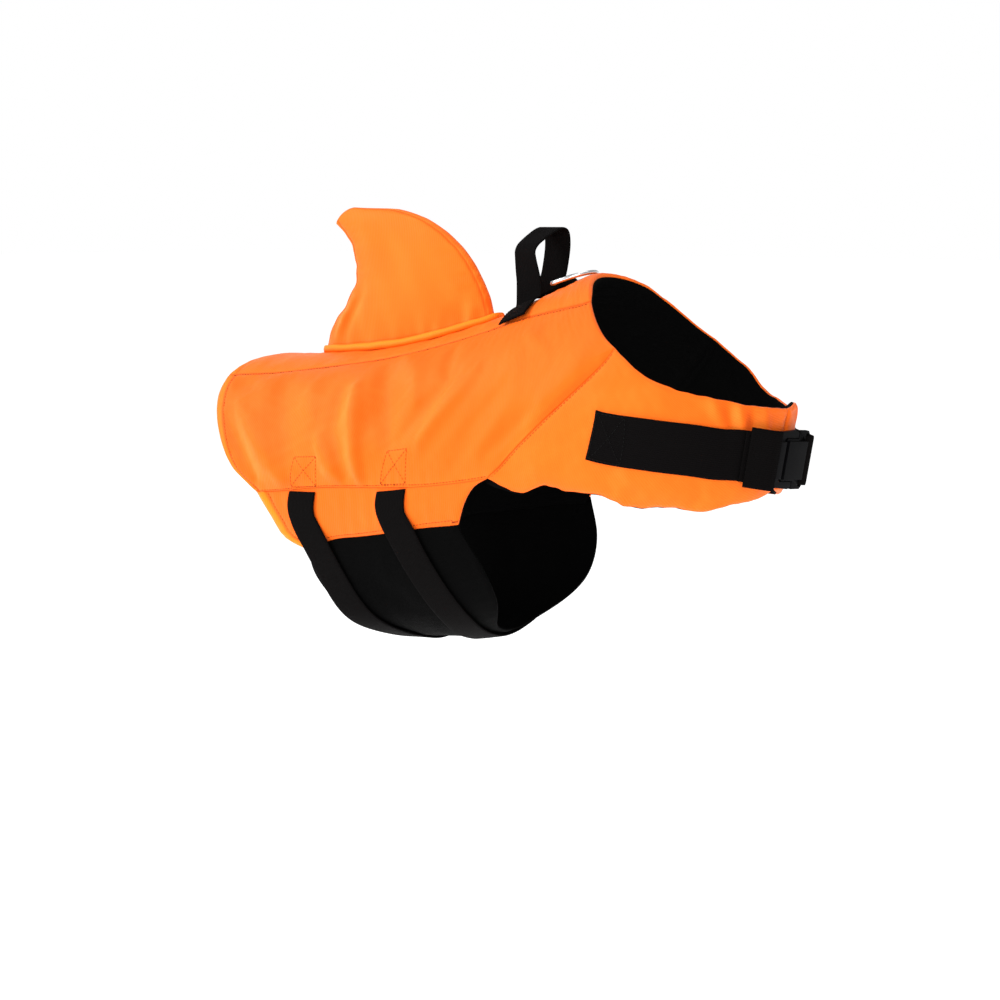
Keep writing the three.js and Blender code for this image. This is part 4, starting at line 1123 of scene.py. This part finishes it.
def addFin(name, side):
    acrossShare = 0.5 - 0.5 * np.cos(np.pi * np.linspace(0, 1, 76))
    crownShare = 0.86 + 0.14 * np.sin(np.linspace(0, math.pi / 2, 16))[1:]
    riseShare = np.concatenate([np.linspace(0, 0.86, 56), crownShare])
    across, rise = np.meshgrid(acrossShare, riseShare, indexing="ij")
    rearX, rearZ, frontX, frontZ = (finValue(k, rise) for k in (1, 2, 3, 4))
    # The sewn rear edge is a little uneven where its turned-in seam pulls
    uneven = np.sin(math.pi * np.clip(rise / 0.85, 0, 1)) ** 0.5
    rearX = rearX + 1.1 * uneven * ripple(rise * 120, 0 * rise, 531, 11)
    x = rearX + (frontX - rearX) * across
    z = rearZ + (frontZ - rearZ) * across
    tip = np.clip((rise - 0.8) / 0.2, 0, 1) ** 2 * (4 * across * (1 - across)) ** 0.7
    x = x - 2.2 * tip
    z = z + 3.6 * tip
    profile = (4 * across * (1 - across)) ** 0.5
    crown = np.clip((1 - rise) / 0.16, 0, 1)
    crown = np.sqrt(np.clip(crown * (2 - crown), 0, 1))
    half = finLook["halfThickness"] * profile**1.1 * (1 - 0.72 * rise**1.4) * crown
    edge = np.minimum(across, 1 - across) * (frontX - rearX)
    lift = (1 - rise) * 120
    nearEdge = np.minimum(edge, lift)
    # Puckers from the sewn outline and at the foot
    pull = np.exp(-edge / 10) * (1 - np.exp(-edge / 1.5))
    pucker = finLook["pucker"] * pull * ripple(rise * 110, edge * 0.2, 500 + side, 8)
    footPull = np.exp(-rise / 0.08)
    pucker = pucker + 0.9 * footPull * ripple(x, rise * 30, 510 + side, 15)
    creases = np.zeros(x.shape)
    for height, foldX, lean, width, foldRise, reach in finFolds:
        foldX = foldX + lean * np.clip(rise / 0.3, 0, 1)
        creases = creases + height * bell(x, foldX, width) * bell(rise, foldRise, reach)
    broad = 0.5 * ripple(x, z, 520 + side, 42) * np.clip(nearEdge / 20, 0, 1)
    seamDip = -0.7 * bell(edge, 3.2, 0.9) * np.clip(rise / 0.1, 0, 1)
    folds = (pucker + creases + broad) * np.clip(half / 4, 0, 1)
    grown = half + folds
    grown = np.maximum(grown, 0) + seamDip * np.clip(half / 3, 0, 1)
    grown = np.maximum(grown, 0) + finLook["edge"] * np.clip(nearEdge / 1.2, 0.25, 1)
    base = finRows[0]
    baseShare = (x - base[1]) / (base[3] - base[1])
    baseLine = base[2] + (base[4] - base[2]) * baseShare
    foot = backHeights(x, side * grown, finLook["foot"])[..., 2]
    z = z + (foot - baseLine) * (1 - rise) ** 2
    outer = np.stack([x, side * (0.15 + grown), z], -1)
    inner = np.stack([x, np.full(x.shape, side * 0.15), z], -1)
    seamMark = np.maximum(bell(edge, 3.2, 0.7) * 0.8, bell(rise, 0, 0.012))
    # Painted highlight and painted shade on the slopes of the fin's folds
    marks = {"seamMark": seamMark * np.clip(rise / 0.02, 0.3, 1), "paintedFoldLight": paintedFoldLight(folds, x, z)}
    flat = np.stack([x, z], -1)
    thing = shell(f"fin_{name}_cloth", outer, inner, materials["orange"], flat, marks)
    keep(thing, f"fin_{name}")


def addFinBase():
    steps = 110
    rows = 26
    s = np.linspace(0, 1, steps)
    along = 0.5 - 0.5 * np.cos(np.pi * s)
    xs = finBaseLook["rearX"] + (finBaseLook["frontX"] - finBaseLook["rearX"]) * along
    oval = np.sin(np.pi * np.clip(along, 1e-4, 1 - 1e-4)) ** 0.45
    width = finBaseLook["endWidth"] + (finBaseLook["halfWidth"] - finBaseLook["endWidth"]) * oval
    across = np.sin(np.linspace(-1, 1, rows) * math.pi / 2)
    x = np.broadcast_to(xs[:, None], (steps, rows))
    y = width[:, None] * across[None, :] * -1
    edge = width[:, None] - np.abs(y)
    roll = 0.8 * bell(edge, 0, 1.4)
    wave = 0.25 * ripple(x, y, 540, 14)
    wall = finBaseLook["wall"]
    piping = finBaseLook["piping"] * bell(edge, 3.4, 3.2, 4)
    outer = backHeights(x, y, 0.0)
    normal = unit(outer - backHeights(x, y, -1.0))
    top = finBaseLook["gap"] + wall
    outerPoints = outer + normal * (top - roll + wave + piping)[..., None]
    innerPoints = outer + normal * (finBaseLook["gap"] - 0.75 * bell(edge, 0, 5))[..., None]
    # The lighter band along the piping's edge is a painted highlight
    marks = {
        "seamMark": 0.6 * bell(edge, 6.9, 0.6) + 0.5 * bell(edge, 0, 0.5),
        "edgeBandAndHighlight": np.clip((9 - edge) / 2, 0, 1),
    }
    thing = shell("fin_base_cloth", outerPoints, innerPoints, materials["bright"], None, marks)
    keep(thing, "fin_base")


for name, side in sides:
    addFin(name, side)
addFinBase()
print("fin made")


# Webbing

webbingLook = {"wall": 1.6, "edgeThin": 0.35, "columns": 9}


# Webbing through cross lines of (points, out), smoothed along it and rounded at its edges.
def strip(node, crossLines, factor=4):
    points = smoothRows([line[0] for line in crossLines], factor)
    outs = unit(smoothRows([line[1] for line in crossLines], factor))
    columns = webbingLook["columns"]
    share = np.linspace(0, 1, points.shape[1])
    swing = np.cos(math.pi * np.linspace(0, 1, columns))
    fine = 0.5 - 0.5 * swing * (0.75 + 0.25 * np.abs(swing))
    fine = (fine - fine[0]) / (fine[-1] - fine[0])
    grid = np.stack([
        np.stack([np.interp(fine, share, line[:, k]) for k in range(3)], -1) for line in points
    ])
    half = webbingLook["wall"] / 2
    edge = np.minimum(fine, 1 - fine) * np.linalg.norm(points[0, -1] - points[0, 0])
    rounding = half - webbingLook["edgeThin"] * np.exp(-((edge / 0.7) ** 2))
    outer = grid + outs[:, None, :] * rounding[None, :, None]
    inner = grid - outs[:, None, :] * rounding[None, :, None]
    thing = shell(node + "_webbing", outer, inner, materials["webbing"])
    keep(thing, node)
    return grid, outs


def spineLines(middle, width, acrossRows):
    crossLines = []
    for i, spot in enumerate(middle):
        run = middle[min(i + 1, len(middle) - 1)] - middle[max(i - 1, 0)]
        run = unit(np.array([run[0], 0, run[2]]))
        points = []
        for j in range(acrossRows + 1):
            points.append([spot[0], spot[1] + width * (0.5 - j / acrossRows), spot[2]])
        crossLines.append((np.array(points), np.array([-run[2], 0, run[0]])))
    return crossLines


handleLook = {"width": 23.5}
# Middle line across the spine: beside it, lift over the cloth or None, then height, x, how far it
# hugs the back, and how far the strip is twisted, in degrees
handleRows = [
    (-50.5, 1.5, None, -3, 1, 0),
    (-45, 1.5, None, -4, 1, 0),
    (-38, 1.7, None, -5, 1, 0),
    (-30, 2.1, None, -6.2, 1, 0),
    (-24.5, 2.0, None, -6.8, 1, 0),
    (-22.3, 2.5, None, -6.8, 1, 0),
    (-21.3, 5.0, None, -6.8, 1, 0),
    (-21, None, 17, -6.9, 0.6, 0),
    (-21, None, 23, -7.4, 0.1, 3),
    (-21, None, 30, -8.7, 0, 6),
    (-21, None, 40, -10.5, 0, 12),
    (-20.6, None, 45.5, -11.2, 0, 14),
    (-17.5, None, 50, -11, 0, 13),
    (-11.5, None, 54, -10.3, 0, 11),
    (-4.5, None, 58, -9, 0, 8),
    (2, None, 61.4, -7.2, 0, 3),
    (7.5, None, 63, -6, 0, 0),
    (11.6, None, 61.4, -5.2, 0, 0),
    (14, None, 57, -5, 0, 0),
    (14.8, None, 49, -5.2, 0, 0),
    (14.4, None, 40, -6, 0, 0),
    (14, None, 30, -7.6, 0, 0),
    (13.6, None, 21, -9.4, 0.1, 0),
    (16.5, 4.5, None, -9, 0.7, 0),
    (22, 2.0, None, -7, 0.95, 0),
    (30, 1.6, None, -7, 1, 0),
    (38, 1.5, None, -7, 1, 0),
]


def addHandle():
    crossLines = []
    steps = 6
    middle = [
        np.array([x, beside, backPoint(x, beside, 0)[2] + lift if z is None else z])
        for beside, lift, z, x, hug, twist in handleRows
    ]
    for i, (spot, row) in enumerate(zip(middle, handleRows)):
        run = middle[min(i + 1, len(middle) - 1)] - middle[max(i - 1, 0)]
        run = unit(np.array([0, run[1], run[2]]))
        turn = math.radians(row[5])
        points = []
        for j in range(steps + 1):
            offset = handleLook["width"] * (j / steps - 0.5)
            x, y = spot[0] + offset * math.cos(turn), spot[1] - offset * math.sin(turn)
            rise = backPoint(x, y, 0)[2] - backPoint(spot[0], spot[1], 0)[2]
            points.append([x, y, spot[2] + rise * row[4]])
        crossLines.append((np.array(points), np.array([0, -run[2], run[1]])))
    return strip("handle", crossLines)


ringLook = {"wire": 3.6, "width": 36, "reach": 27, "barX": 15, "gap": 0.8}
ringBarLift = ringLook["gap"] + webbingLook["wall"] + 0.4 + ringLook["wire"] / 2


def ringFrame():
    bar = backPoint(ringLook["barX"], 0, ringBarLift)
    tipX = ringLook["barX"] + ringLook["reach"] * 0.93
    tip = backPoint(tipX, 0, ringLook["gap"] + ringLook["wire"] / 2)
    forward = unit(tip - bar)
    return bar, forward, np.array([-forward[2], 0, forward[0]])


def addRingTab():
    bar = ringFrame()[0]
    radius = ringLook["wire"] / 2 + 0.4 + webbingLook["wall"] / 2
    rest = ringLook["gap"] + webbingLook["wall"] / 2
    points = [backPoint(x, 0, rest) for x in (-6, -3, 1, 6, 11)]
    slope = math.atan2(bar[2] - points[-1][2], bar[0] - points[-1][0])
    for k in range(8):
        angle = -math.pi / 2 + slope * 0.4 + math.pi * k / 7
        points.append(bar + radius * np.array([math.cos(angle), 0, math.sin(angle)]))
    points.append(backPoint(ringLook["barX"] - 5.5, 0, ringBarLift + radius - 0.6))
    strip("ring_tab", spineLines(points, 24, 3))


def addRing():
    bar, forward, up = ringFrame()
    halfWidth = ringLook["width"] / 2
    path = []
    for angle in np.linspace(0, math.pi, 61):
        ahead = ringLook["reach"] * max(math.sin(angle), 0) ** 0.8
        path.append([ahead, -halfWidth * math.cos(angle)])
    for share in np.linspace(0, 1, 13)[1:-1]:
        path.append([0, halfWidth - ringLook["width"] * share])
    path = np.array(path)
    ahead = np.roll(path, -1, 0)
    behind = np.roll(path, 1, 0)
    run = unit(ahead - behind)
    count = 20
    points = []
    for spot, way in zip(path, run):
        for angle in 2 * math.pi * np.arange(count) / count:
            flat = spot + np.array([way[1], -way[0]]) * math.cos(angle) * ringLook["wire"] / 2
            point = bar + forward * flat[0] + up * math.sin(angle) * ringLook["wire"] / 2
            points.append([point[0], flat[1], point[2]])
    faces = []
    for k in range(len(path)):
        here, ahead = k * count, (k + 1) % len(path) * count
        for j in range(count):
            beside = (j + 1) % count
            faces.append([here + j, ahead + j, ahead + beside, here + beside])
    points = np.array(points)
    if volume(points, faces) < 0:
        faces = [face[::-1] for face in faces]
    thing = newObject("d_ring_wire", points, faces, materials["steel"])
    keep(thing, "d_ring", "ring")


handleGrid, handleOuts = addHandle()
addRingTab()
addRing()
print("handle and ring made")


# Straps and buckles

rearStrapLine = [(1.54, 90.4), (1.53, 98), (1.65, 110), (1.88, 134), (2.06, 158), (2.13, 180)]
frontStrapLine = [
    (2.56, 90.6), (2.55, 97), (2.68, 107), (2.86, 125), (2.95, 142), (2.93, 161), (2.91, 180),
]
chestStrapLine = [(4.75, 94.5), (5.1, 110.5), (5.34, 126)]
chestStrapEnds = {"right": (5.48, 141, 33), "left": (5.46, 148, 40)}
strapLook = {
    "bellyWidth": 28,
    "chestWidth": 36,
    "tabWidth": 43,
    "restGap": 0.8,
    "buckleGap": 2.2,
    "tuck": 1.5,
}
buckles = {
    "chest": {"long": 48, "thick": 9, "bar": 3.4, "webbing": 36.5},
    "belly": {"long": 42, "thick": 8, "bar": 3.4, "webbing": 28.5},
}
buckleSpots = {
    "chest": {"place": 5.6, "turn": -175, "spin": -2},
    "rear": {"place": 1.68, "turn": 113, "spin": -24, "tilt": 14, "share": 0.77},
    "front": {"place": 2.74, "turn": 113, "spin": -23, "tilt": 14, "share": 0.755},
}


def formLines(rows, side, width, height, steps, start=0.0, stop=1.0, tuck=0.0):
    line = smoothLine(np.array([[p * placeLength, t * turnLength] for p, t in rows], float))

    def spotAt(share):
        spot = line(share)
        return spot[..., 0] / placeLength, side * spot[..., 1] / turnLength

    crossLines = []
    for share in np.linspace(start, stop, steps + 1):
        place, turn = spotAt(share)
        before = spotAt(share - 0.01)
        after = spotAt(share + 0.01)
        along, around = formSlopes(place, turn)
        run = along * (after[0] - before[0]) + around * (after[1] - before[1])
        placeShare = float(around @ run)
        turnShare = -float(along @ run)
        length = np.linalg.norm(along * placeShare + around * turnShare)
        beside = width * (np.linspace(0, 1, 7) - 0.5) / length
        if tuck:
            turnShare = turnShare * min(share / 0.07, 1)
        sunk = tuck * math.exp(-share / 0.012)
        places, turns = place + placeShare * beside, turn + turnShare * beside
        points = clothPoint(places, turns, np.full(7, height - sunk))
        crossLines.append((points, formNormal(place, turn)))
    return crossLines


def rotated(vector, axis, degrees):
    return np.array(Matrix.Rotation(math.radians(degrees), 3, Vector(axis)) @ Vector(vector))


def buckleFrame(spot, runTurn, height):
    place, turn = np.array(float(spot["place"])), np.array(float(spot["turn"]))
    out = formNormal(place, turn)
    ahead = formPoint(place, turn + runTurn) - formPoint(place, turn)
    run = rotated(unit(ahead - out * (ahead @ out)), out, spot["spin"])
    across = np.cross(out, run)
    return {"at": clothPoint(place, turn, height), "axes": np.stack([run, across, out])}


def placed(frameOf, points):
    return frameOf["at"] + np.asarray(points) @ frameOf["axes"]


def besideBar(end, tilt, away, rise):
    lean = math.radians(tilt)
    long = away * math.cos(lean) + rise * math.sin(lean)
    return np.array([end * long, 0, rise * math.cos(lean) - away * math.sin(lean)])


def barPlace(buckle):
    return (buckle["long"] - buckle["bar"]) / 2


def foldClear(buckle):
    return buckle["bar"] * 0.71 + 0.3 + webbingLook["wall"] / 2


def barLines(rows, frameOf, buckle, end, tilt, width):
    crossLines = []
    for away, rise, angle in rows:
        point = besideBar(end, tilt, away, rise)
        points = np.repeat(point[None, :], 7, 0)
        points[:, 0] += end * barPlace(buckle)
        points[:, 1] = end * width * (np.linspace(0, 1, 7) - 0.5)
        out = besideBar(end, tilt, math.sin(angle), math.cos(angle)) @ frameOf["axes"]
        crossLines.append((placed(frameOf, points), out))
    return crossLines


def foldLines(frameOf, buckle, end, tilt, lead, back):
    clear = foldClear(buckle)
    wall = webbingLook["wall"]
    rows = [(lead, -clear, 0.0)]
    for k in range(9):
        angle = math.pi * k / 8
        rows.append((-clear * math.sin(angle), -clear * math.cos(angle), angle))
    rows.append((9, clear - 2.2, math.pi))
    rows.append((16, wall + 0.6 - clear, math.pi))
    rows.append((back, wall + 0.4 - clear, math.pi))
    return barLines(rows, frameOf, buckle, end, tilt, buckle["webbing"])


def strapHeight(kind):
    return panelBuild[kind]["swell"] + strapLook["restGap"] + webbingLook["wall"] / 2


def buckleHeight(kind, buckle):
    return panelBuild[kind]["swell"] + strapLook["buckleGap"] + buckle["thick"] / 2


# A copy of a hard piece with its sharp edges rounded.
def bevelledCopy(node, name, width):
    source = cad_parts[node]
    mesh = source.data.copy()
    mesh.name = name
    mesh.materials.clear()
    mesh.materials.append(materials["plastic"])
    work = bmesh.new()
    work.from_mesh(mesh)
    bmesh.ops.remove_doubles(work, verts=work.verts, dist=1e-6)
    bmesh.ops.dissolve_limit(work, angle_limit=math.radians(1), verts=work.verts, edges=work.edges)
    least = math.radians(30)
    sharp = [edge for edge in work.edges if edge.is_manifold and edge.calc_face_angle() > least]
    bmesh.ops.bevel(
        work, geom=sharp, offset=width * metre, segments=3, profile=0.6, affect="EDGES",
        clamp_overlap=True,
    )
    bmesh.ops.triangulate(work, faces=work.faces)
    work.to_mesh(mesh)
    work.free()
    mesh.polygons.foreach_set("use_smooth", [True] * len(mesh.polygons))
    thing = bpy.data.objects.new(name, mesh)
    bpy.context.scene.collection.objects.link(thing)
    thing.matrix_world = source.matrix_world.copy()
    keep(thing, node)
    return thing


bellyBuckle = buckles["belly"]
for name, rows in (("rear", rearStrapLine), ("front", frontStrapLine)):
    spot = buckleSpots[name]
    frameOf = buckleFrame(spot, 4, buckleHeight("band", bellyBuckle))
    whole = rows + [(place, 360 - turn) for place, turn in rows[:-1][::-1]]
    width, height = strapLook["bellyWidth"], strapHeight("band")
    strap = formLines(whole, -1, width, height, 60, 0, spot["share"], strapLook["tuck"])
    strap += foldLines(frameOf, bellyBuckle, 1, spot["tilt"], 16, 24)
    strip(f"belly_strap_{name}", strap, factor=3)
    stub = formLines(rows, 1, width, height, 4, 0, 0.06, strapLook["tuck"])
    stub += foldLines(frameOf, bellyBuckle, -1, spot["tilt"], 12, 20)
    strip(f"belly_stub_{name}", stub, factor=3)
    for end in ("plug", "socket"):
        node = f"belly_buckle_{name}_{end}"
        bevelledCopy(node, node + "_fine", 0.45)

chestBuckle = buckles["chest"]
chestFrame = buckleFrame(buckleSpots["chest"], -4, buckleHeight("front", chestBuckle))
chestGrids = {}
for name, side in sides:
    place, turn, tilt = chestStrapEnds[name]
    rows = chestStrapLine + [(place, turn)]
    strap = formLines(rows, side, strapLook["chestWidth"], strapHeight("front"), 24)
    fold = foldLines(chestFrame, chestBuckle, side, tilt, 22, 20)
    chestGrids[name] = strip(f"chest_strap_{name}", strap + fold, factor=3)
over = webbingLook["wall"] + 0.4
clear = foldClear(chestBuckle)
tabRows = [
    (-5, clear + over - 1.2, math.pi),
    (0, clear + over, math.pi),
    (9, clear + over - 2.2, math.pi),
    (17, 2 * over + 0.2 - clear, math.pi),
]
tilt = chestStrapEnds["right"][2]
tabLines = barLines(tabRows, chestFrame, chestBuckle, -1, tilt, strapLook["tabWidth"])
strip("chest_tab", tabLines, factor=6)
for end in ("plug", "socket"):
    node = f"chest_buckle_{end}"
    bevelledCopy(node, node + "_fine", 0.6)
print("straps and buckles made")


# Stitching

stitchLook = {"pitch": 3.0, "length": 2.5, "width": 0.5, "height": 0.28}


# The panels that stitches lie on, as one tree in millimetres.
def clothTree():
    points, faces, start = [], [], 0
    for node in pieces:
        if not node.startswith(("top_panel", "side_panel", "lower_band", "front_panel")):
            continue
        mesh = pieces[node].data
        co = np.empty(len(mesh.vertices) * 3)
        mesh.vertices.foreach_get("co", co)
        points.append(co.reshape(-1, 3) / metre)
        faces += [[v + start for v in polygon.vertices] for polygon in mesh.polygons]
        start += len(mesh.vertices)
    return BVHTree.FromPolygons(np.concatenate(points).tolist(), faces)


# Point and way out where a line through the form first meets the cloth from outside
def onCloth(tree, place, turn, high=14.0):
    normal = formNormal(np.array(float(place)), np.array(float(turn)))
    start = formPoint(np.array(float(place)), np.array(float(turn))) + normal * high
    hit, way, index, distance = tree.ray_cast(Vector(start), Vector(-normal), 2 * high + 10)
    if hit is None:
        return None
    way = np.array(way)
    return np.array(hit), way if way @ normal > 0 else -way


# Rows averaged with their neighbours, so that a stitched line runs smoothly.
def softened(rows, reach=4):
    padded = np.concatenate([rows[:1]] * reach + [rows] + [rows[-1:]] * reach)
    return np.mean([padded[k : k + len(rows)] for k in range(2 * reach + 1)], 0)


# Stitches of even pitch along a path of points with their ways out.
def stitchesAlong(path, outs):
    gone = np.concatenate([[0], np.cumsum(np.linalg.norm(np.diff(path, axis=0), axis=1))])
    if gone[-1] < stitchLook["pitch"]:
        return []
    count = max(int(gone[-1] / stitchLook["pitch"]), 1)
    made = []
    for k in range(count):
        middle = (k + 0.5) * gone[-1] / count
        ends = [middle - stitchLook["length"] / 2, middle + stitchLook["length"] / 2]
        a, b = (np.array([np.interp(at, gone, path[:, c]) for c in range(3)]) for at in ends)
        out = unit(np.array([np.interp(middle, gone, outs[:, c]) for c in range(3)]))
        made.append((a, b, out))
    return made


def stitchMesh(name, stitches, material):
    points, faces = [], []
    for a, b, out in stitches:
        run = unit(b - a)
        beside = unit(np.cross(out, run))
        middle = (a + b) / 2 + out * 0.12
        at = len(points)
        wide, high = stitchLook["width"] / 2, stitchLook["height"]
        ring = [beside * wide, out * high, -beside * wide, -out * 0.3]
        quarter = (b - a) * 0.27
        points.append(a - out * 0.1)
        points += [middle - quarter + offset for offset in ring]
        points += [middle + quarter + offset for offset in ring]
        points.append(b - out * 0.1)
        for j in range(4):
            k = (j + 1) % 4
            faces.append([at, at + 1 + k, at + 1 + j])
            faces.append([at + 1 + j, at + 1 + k, at + 5 + k, at + 5 + j])
            faces.append([at + 5 + j, at + 5 + k, at + 9])
    points = np.array(points)
    thing = newObject(name, points, faces, material)
    work = bmesh.new()
    work.from_mesh(thing.data)
    bmesh.ops.recalc_face_normals(work, faces=work.faces)
    work.to_mesh(thing.data)
    work.free()
    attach(thing, "jacket")


def onPanel(tree, kind, side, along, down):
    chart = patches[kind](np.asarray(along, float), np.asarray(down, float))
    places, turns = chart[..., 0] / placeLength, side * chart[..., 1] / turnLength
    found = [onCloth(tree, place, turn) for place, turn in zip(places, turns)]
    spots, outs = (np.array(part) for part in zip(*[hit for hit in found if hit is not None]))
    return softened(spots), softened(outs)


# A path through (place, turn) corners laid on the cloth.
def onChart(tree, side, spots):
    path = []
    for (p1, t1), (p2, t2) in zip(spots[:-1], spots[1:]):
        length = math.hypot((p2 - p1) * placeLength, (t2 - t1) * turnLength)
        steps = max(int(length / 1.5), 2)
        for share in np.linspace(0, 1, steps, endpoint=False):
            path.append((p1 + (p2 - p1) * share, t1 + (t2 - t1) * share))
    path.append(spots[-1])
    found = [onCloth(tree, place, side * turn) for place, turn in path]
    spots, outs = (np.array(part) for part in zip(*[hit for hit in found if hit is not None]))
    return spots, outs


tree = clothTree()
orangeStitches = []
# How far each line of stitches lies from its edge
stitchInset = {"topSeam": 1.6, "stitchSeam": 1.5, "hem": 2.4, "shoulder": 1.6}


def panelStitches(kind, side, along, down):
    return stitchesAlong(*onPanel(tree, kind, side, along, down))


samples = np.linspace(0.004, 0.996, 140)
for name, side in sides:
    long, wide = panelSize("side")
    orangeStitches += panelStitches("side", side, samples, stitchInset["topSeam"] / wide)
    orangeStitches += panelStitches("side", side, samples, 1 - stitchInset["stitchSeam"] / wide)
    inBand = panelLook["rearBand"] + 1.6
    orangeStitches += panelStitches("side", side, inBand / long, samples)
    long, wide = panelSize("band")
    orangeStitches += panelStitches("band", side, inBand / long, samples[:120:2])
    orangeStitches += panelStitches("band", side, samples, 1 - stitchInset["hem"] / wide)
    long, wide = panelSize("front")
    orangeStitches += panelStitches("front", side, stitchInset["shoulder"] / long, samples)

# Boxes with a cross where the belly straps are sewn on behind the cloth
boxes = [
    [(1.45, 77.6), (1.69, 77.4), (1.68, 88.7), (1.42, 89.0)],
    [(2.50, 77.2), (2.76, 77.6), (2.73, 89.2), (2.42, 88.6)],
]
for name, side in sides:
    for a, b, c, d in boxes:
        for path in ([a, b, c, d, a], [a, c], [b, d]):
            orangeStitches += stitchesAlong(*onChart(tree, side, path))
# A short bar of close stitches holds the front corner of each hem
barTack = {"rows": 7, "step": 0.9, "start": 0.7, "low": 0.1, "high": 3.0}
for name, side in sides:
    long, wide = panelSize("band")
    down = 1 - np.linspace(barTack["high"], barTack["low"], 12) / wide
    for k in range(barTack["rows"]):
        along = 1 - (barTack["start"] + k * barTack["step"]) / long
        orangeStitches += panelStitches("band", side, along, down)
stitchMesh("orange_stitches", orangeStitches, materials["orangeThread"])

darkStitches = []


# Stitches round a box on webbing and across it, between two shares of its length.
def gridBox(grid, outs, first, last):
    count = len(grid)
    i, j = int(first * (count - 1)), int(last * (count - 1))
    columns = grid.shape[1]
    lift = webbingLook["wall"] / 2 + 0.05
    raised = grid + outs[:, None, :] * lift

    def side(index, column):
        low = int(column)
        part = column - low
        return raised[index, low] * (1 - part) + raised[index, min(low + 1, columns - 1)] * part

    near, far = 0.9, columns - 1.9
    ways = []
    for column in (near, far):
        path = np.array([side(k, column) for k in range(i, j + 1)])
        ways.append((path, outs[i : j + 1]))
    for index in (i, j):
        path = np.array([side(index, column) for column in np.linspace(near, far, 12)])
        ways.append((path, np.repeat(outs[index][None, :], 12, 0)))
    for start, stop in ((near, far), (far, near)):
        slope = (stop - start) / (j - i)
        path = np.array([side(k, start + slope * (k - i)) for k in range(i, j + 1)])
        ways.append((path, outs[i : j + 1]))
    made = []
    for path, pathOuts in ways:
        made += stitchesAlong(path, pathOuts)
    return made


darkStitches += gridBox(handleGrid, handleOuts, 0.01, 0.1)
darkStitches += gridBox(handleGrid, handleOuts, 0.9, 0.99)
for name, side in sides:
    grid, outs = chestGrids[name]
    darkStitches += gridBox(grid, outs, 0.012, 0.16)
stitchMesh("dark_stitches", darkStitches, materials["darkThread"])
print("stitches made", len(orangeStitches), len(darkStitches))


# Camera, floor and light


cameraLook = {"turn": 36, "lift": 8.5, "lens": 67.32, "at": (0.8220, -1.2002, 0.0687)}


def addCamera():
    turn, lift = math.radians(cameraLook["turn"]), math.radians(cameraLook["lift"])
    right = Vector((math.cos(turn), math.sin(turn), 0))
    level = math.cos(lift)
    back = Vector((math.sin(turn) * level, -math.cos(turn) * level, math.sin(lift)))
    up = back.cross(right)
    data = bpy.data.cameras.new("Camera")
    data.sensor_width = 36
    data.lens = cameraLook["lens"]
    data.clip_end = 50
    camera = bpy.data.objects.new("Camera", data)
    facing = Matrix((right, up, back)).transposed().to_4x4()
    camera.matrix_world = Matrix.Translation(cameraLook["at"]) @ facing
    bpy.context.scene.collection.objects.link(camera)
    bpy.context.scene.camera = camera


def addFloor():
    data = bpy.data.meshes.new("floor")
    reach, low = 30.0, -0.62
    around = ((-reach, -reach), (reach, -reach), (reach, reach), (-reach, reach))
    data.from_pydata([(x, y, low) for x, y in around], [], [(0, 1, 2, 3)])
    material, tree, shader = newMaterial("PaleFloor")
    feed(tree, shader, {
        "Base Color": (0.95, 0.95, 0.95, 1),
        "Roughness": 1.0,
        "Specular IOR Level": 0.0,
        "Emission Color": (1, 1, 1, 1),
        "Emission Strength": 0.62,
    })
    data.materials.append(material)
    floor = bpy.data.objects.new("floor", data)
    bpy.context.scene.collection.objects.link(floor)


lightLook = {
    "behind": 1.0,
    "around": 0.42,
    "away": (-0.581, 0.800, -0.148),
    "middle": (-0.05, 0, -0.1),
    "lights": [
        ("KeyLight", (-1.6, -1.45, 1.3), 0.8, 50),
        ("FillLight", (1.2, -1.9, 0.7), 1.2, 25),
        ("TopLight", (0.0, 0.2, 1.9), 1.2, 10),
    ],
}


def addLight(name, at, size, power):
    data = bpy.data.lights.new(name, "AREA")
    data.shape = "SQUARE"
    data.size = size
    data.energy = power
    light = bpy.data.objects.new(name, data)
    light.location = at
    aim = Vector(lightLook["middle"]) - Vector(at)
    light.rotation_euler = aim.to_track_quat("-Z", "Y").to_euler()
    bpy.context.scene.collection.objects.link(light)


# A soft step of a value from one light level to another
def lightStep(tree, value, start, stop, first, last):
    node = tree.nodes.new("ShaderNodeMapRange")
    node.interpolation_type = "SMOOTHSTEP"
    feed(tree, node, {
        "Value": value,
        "From Min": start,
        "From Max": stop,
        "To Min": lightLook[first],
        "To Max": lightLook[last],
    })
    return node.outputs["Result"]


def addLights():
    world = bpy.data.worlds.new("Studio")
    world.use_nodes = True
    tree = world.node_tree
    place = tree.nodes.new("ShaderNodeTexCoord").outputs["Generated"]
    towards = tree.nodes.new("ShaderNodeVectorMath")
    towards.operation = "DOT_PRODUCT"
    feed(tree, towards, {0: place, 1: lightLook["away"]})
    split = tree.nodes.new("ShaderNodeSeparateXYZ")
    tree.links.new(place, split.inputs[0])
    # A white backdrop behind the jacket and in a low strip all round, and a softer light elsewhere
    backdrop = lightStep(tree, towards.outputs["Value"], 0.6, 0.88, "around", "behind")
    height = mathNode(tree, "ABSOLUTE", split.outputs["Z"])
    lowStrip = lightStep(tree, height, 0.13, 0.2, "behind", "around")
    strength = mathNode(tree, "MAXIMUM", backdrop, lowStrip)
    feed(tree, tree.nodes["Background"], {"Color": (1, 1, 1, 1), "Strength": strength})
    bpy.context.scene.world = world
    for name, at, size, power in lightLook["lights"]:
        addLight(name, at, size, power)


addCamera()
addFloor()
addLights()
bpy.context.scene.view_settings.view_transform = "Standard"
print("camera, floor and light made")
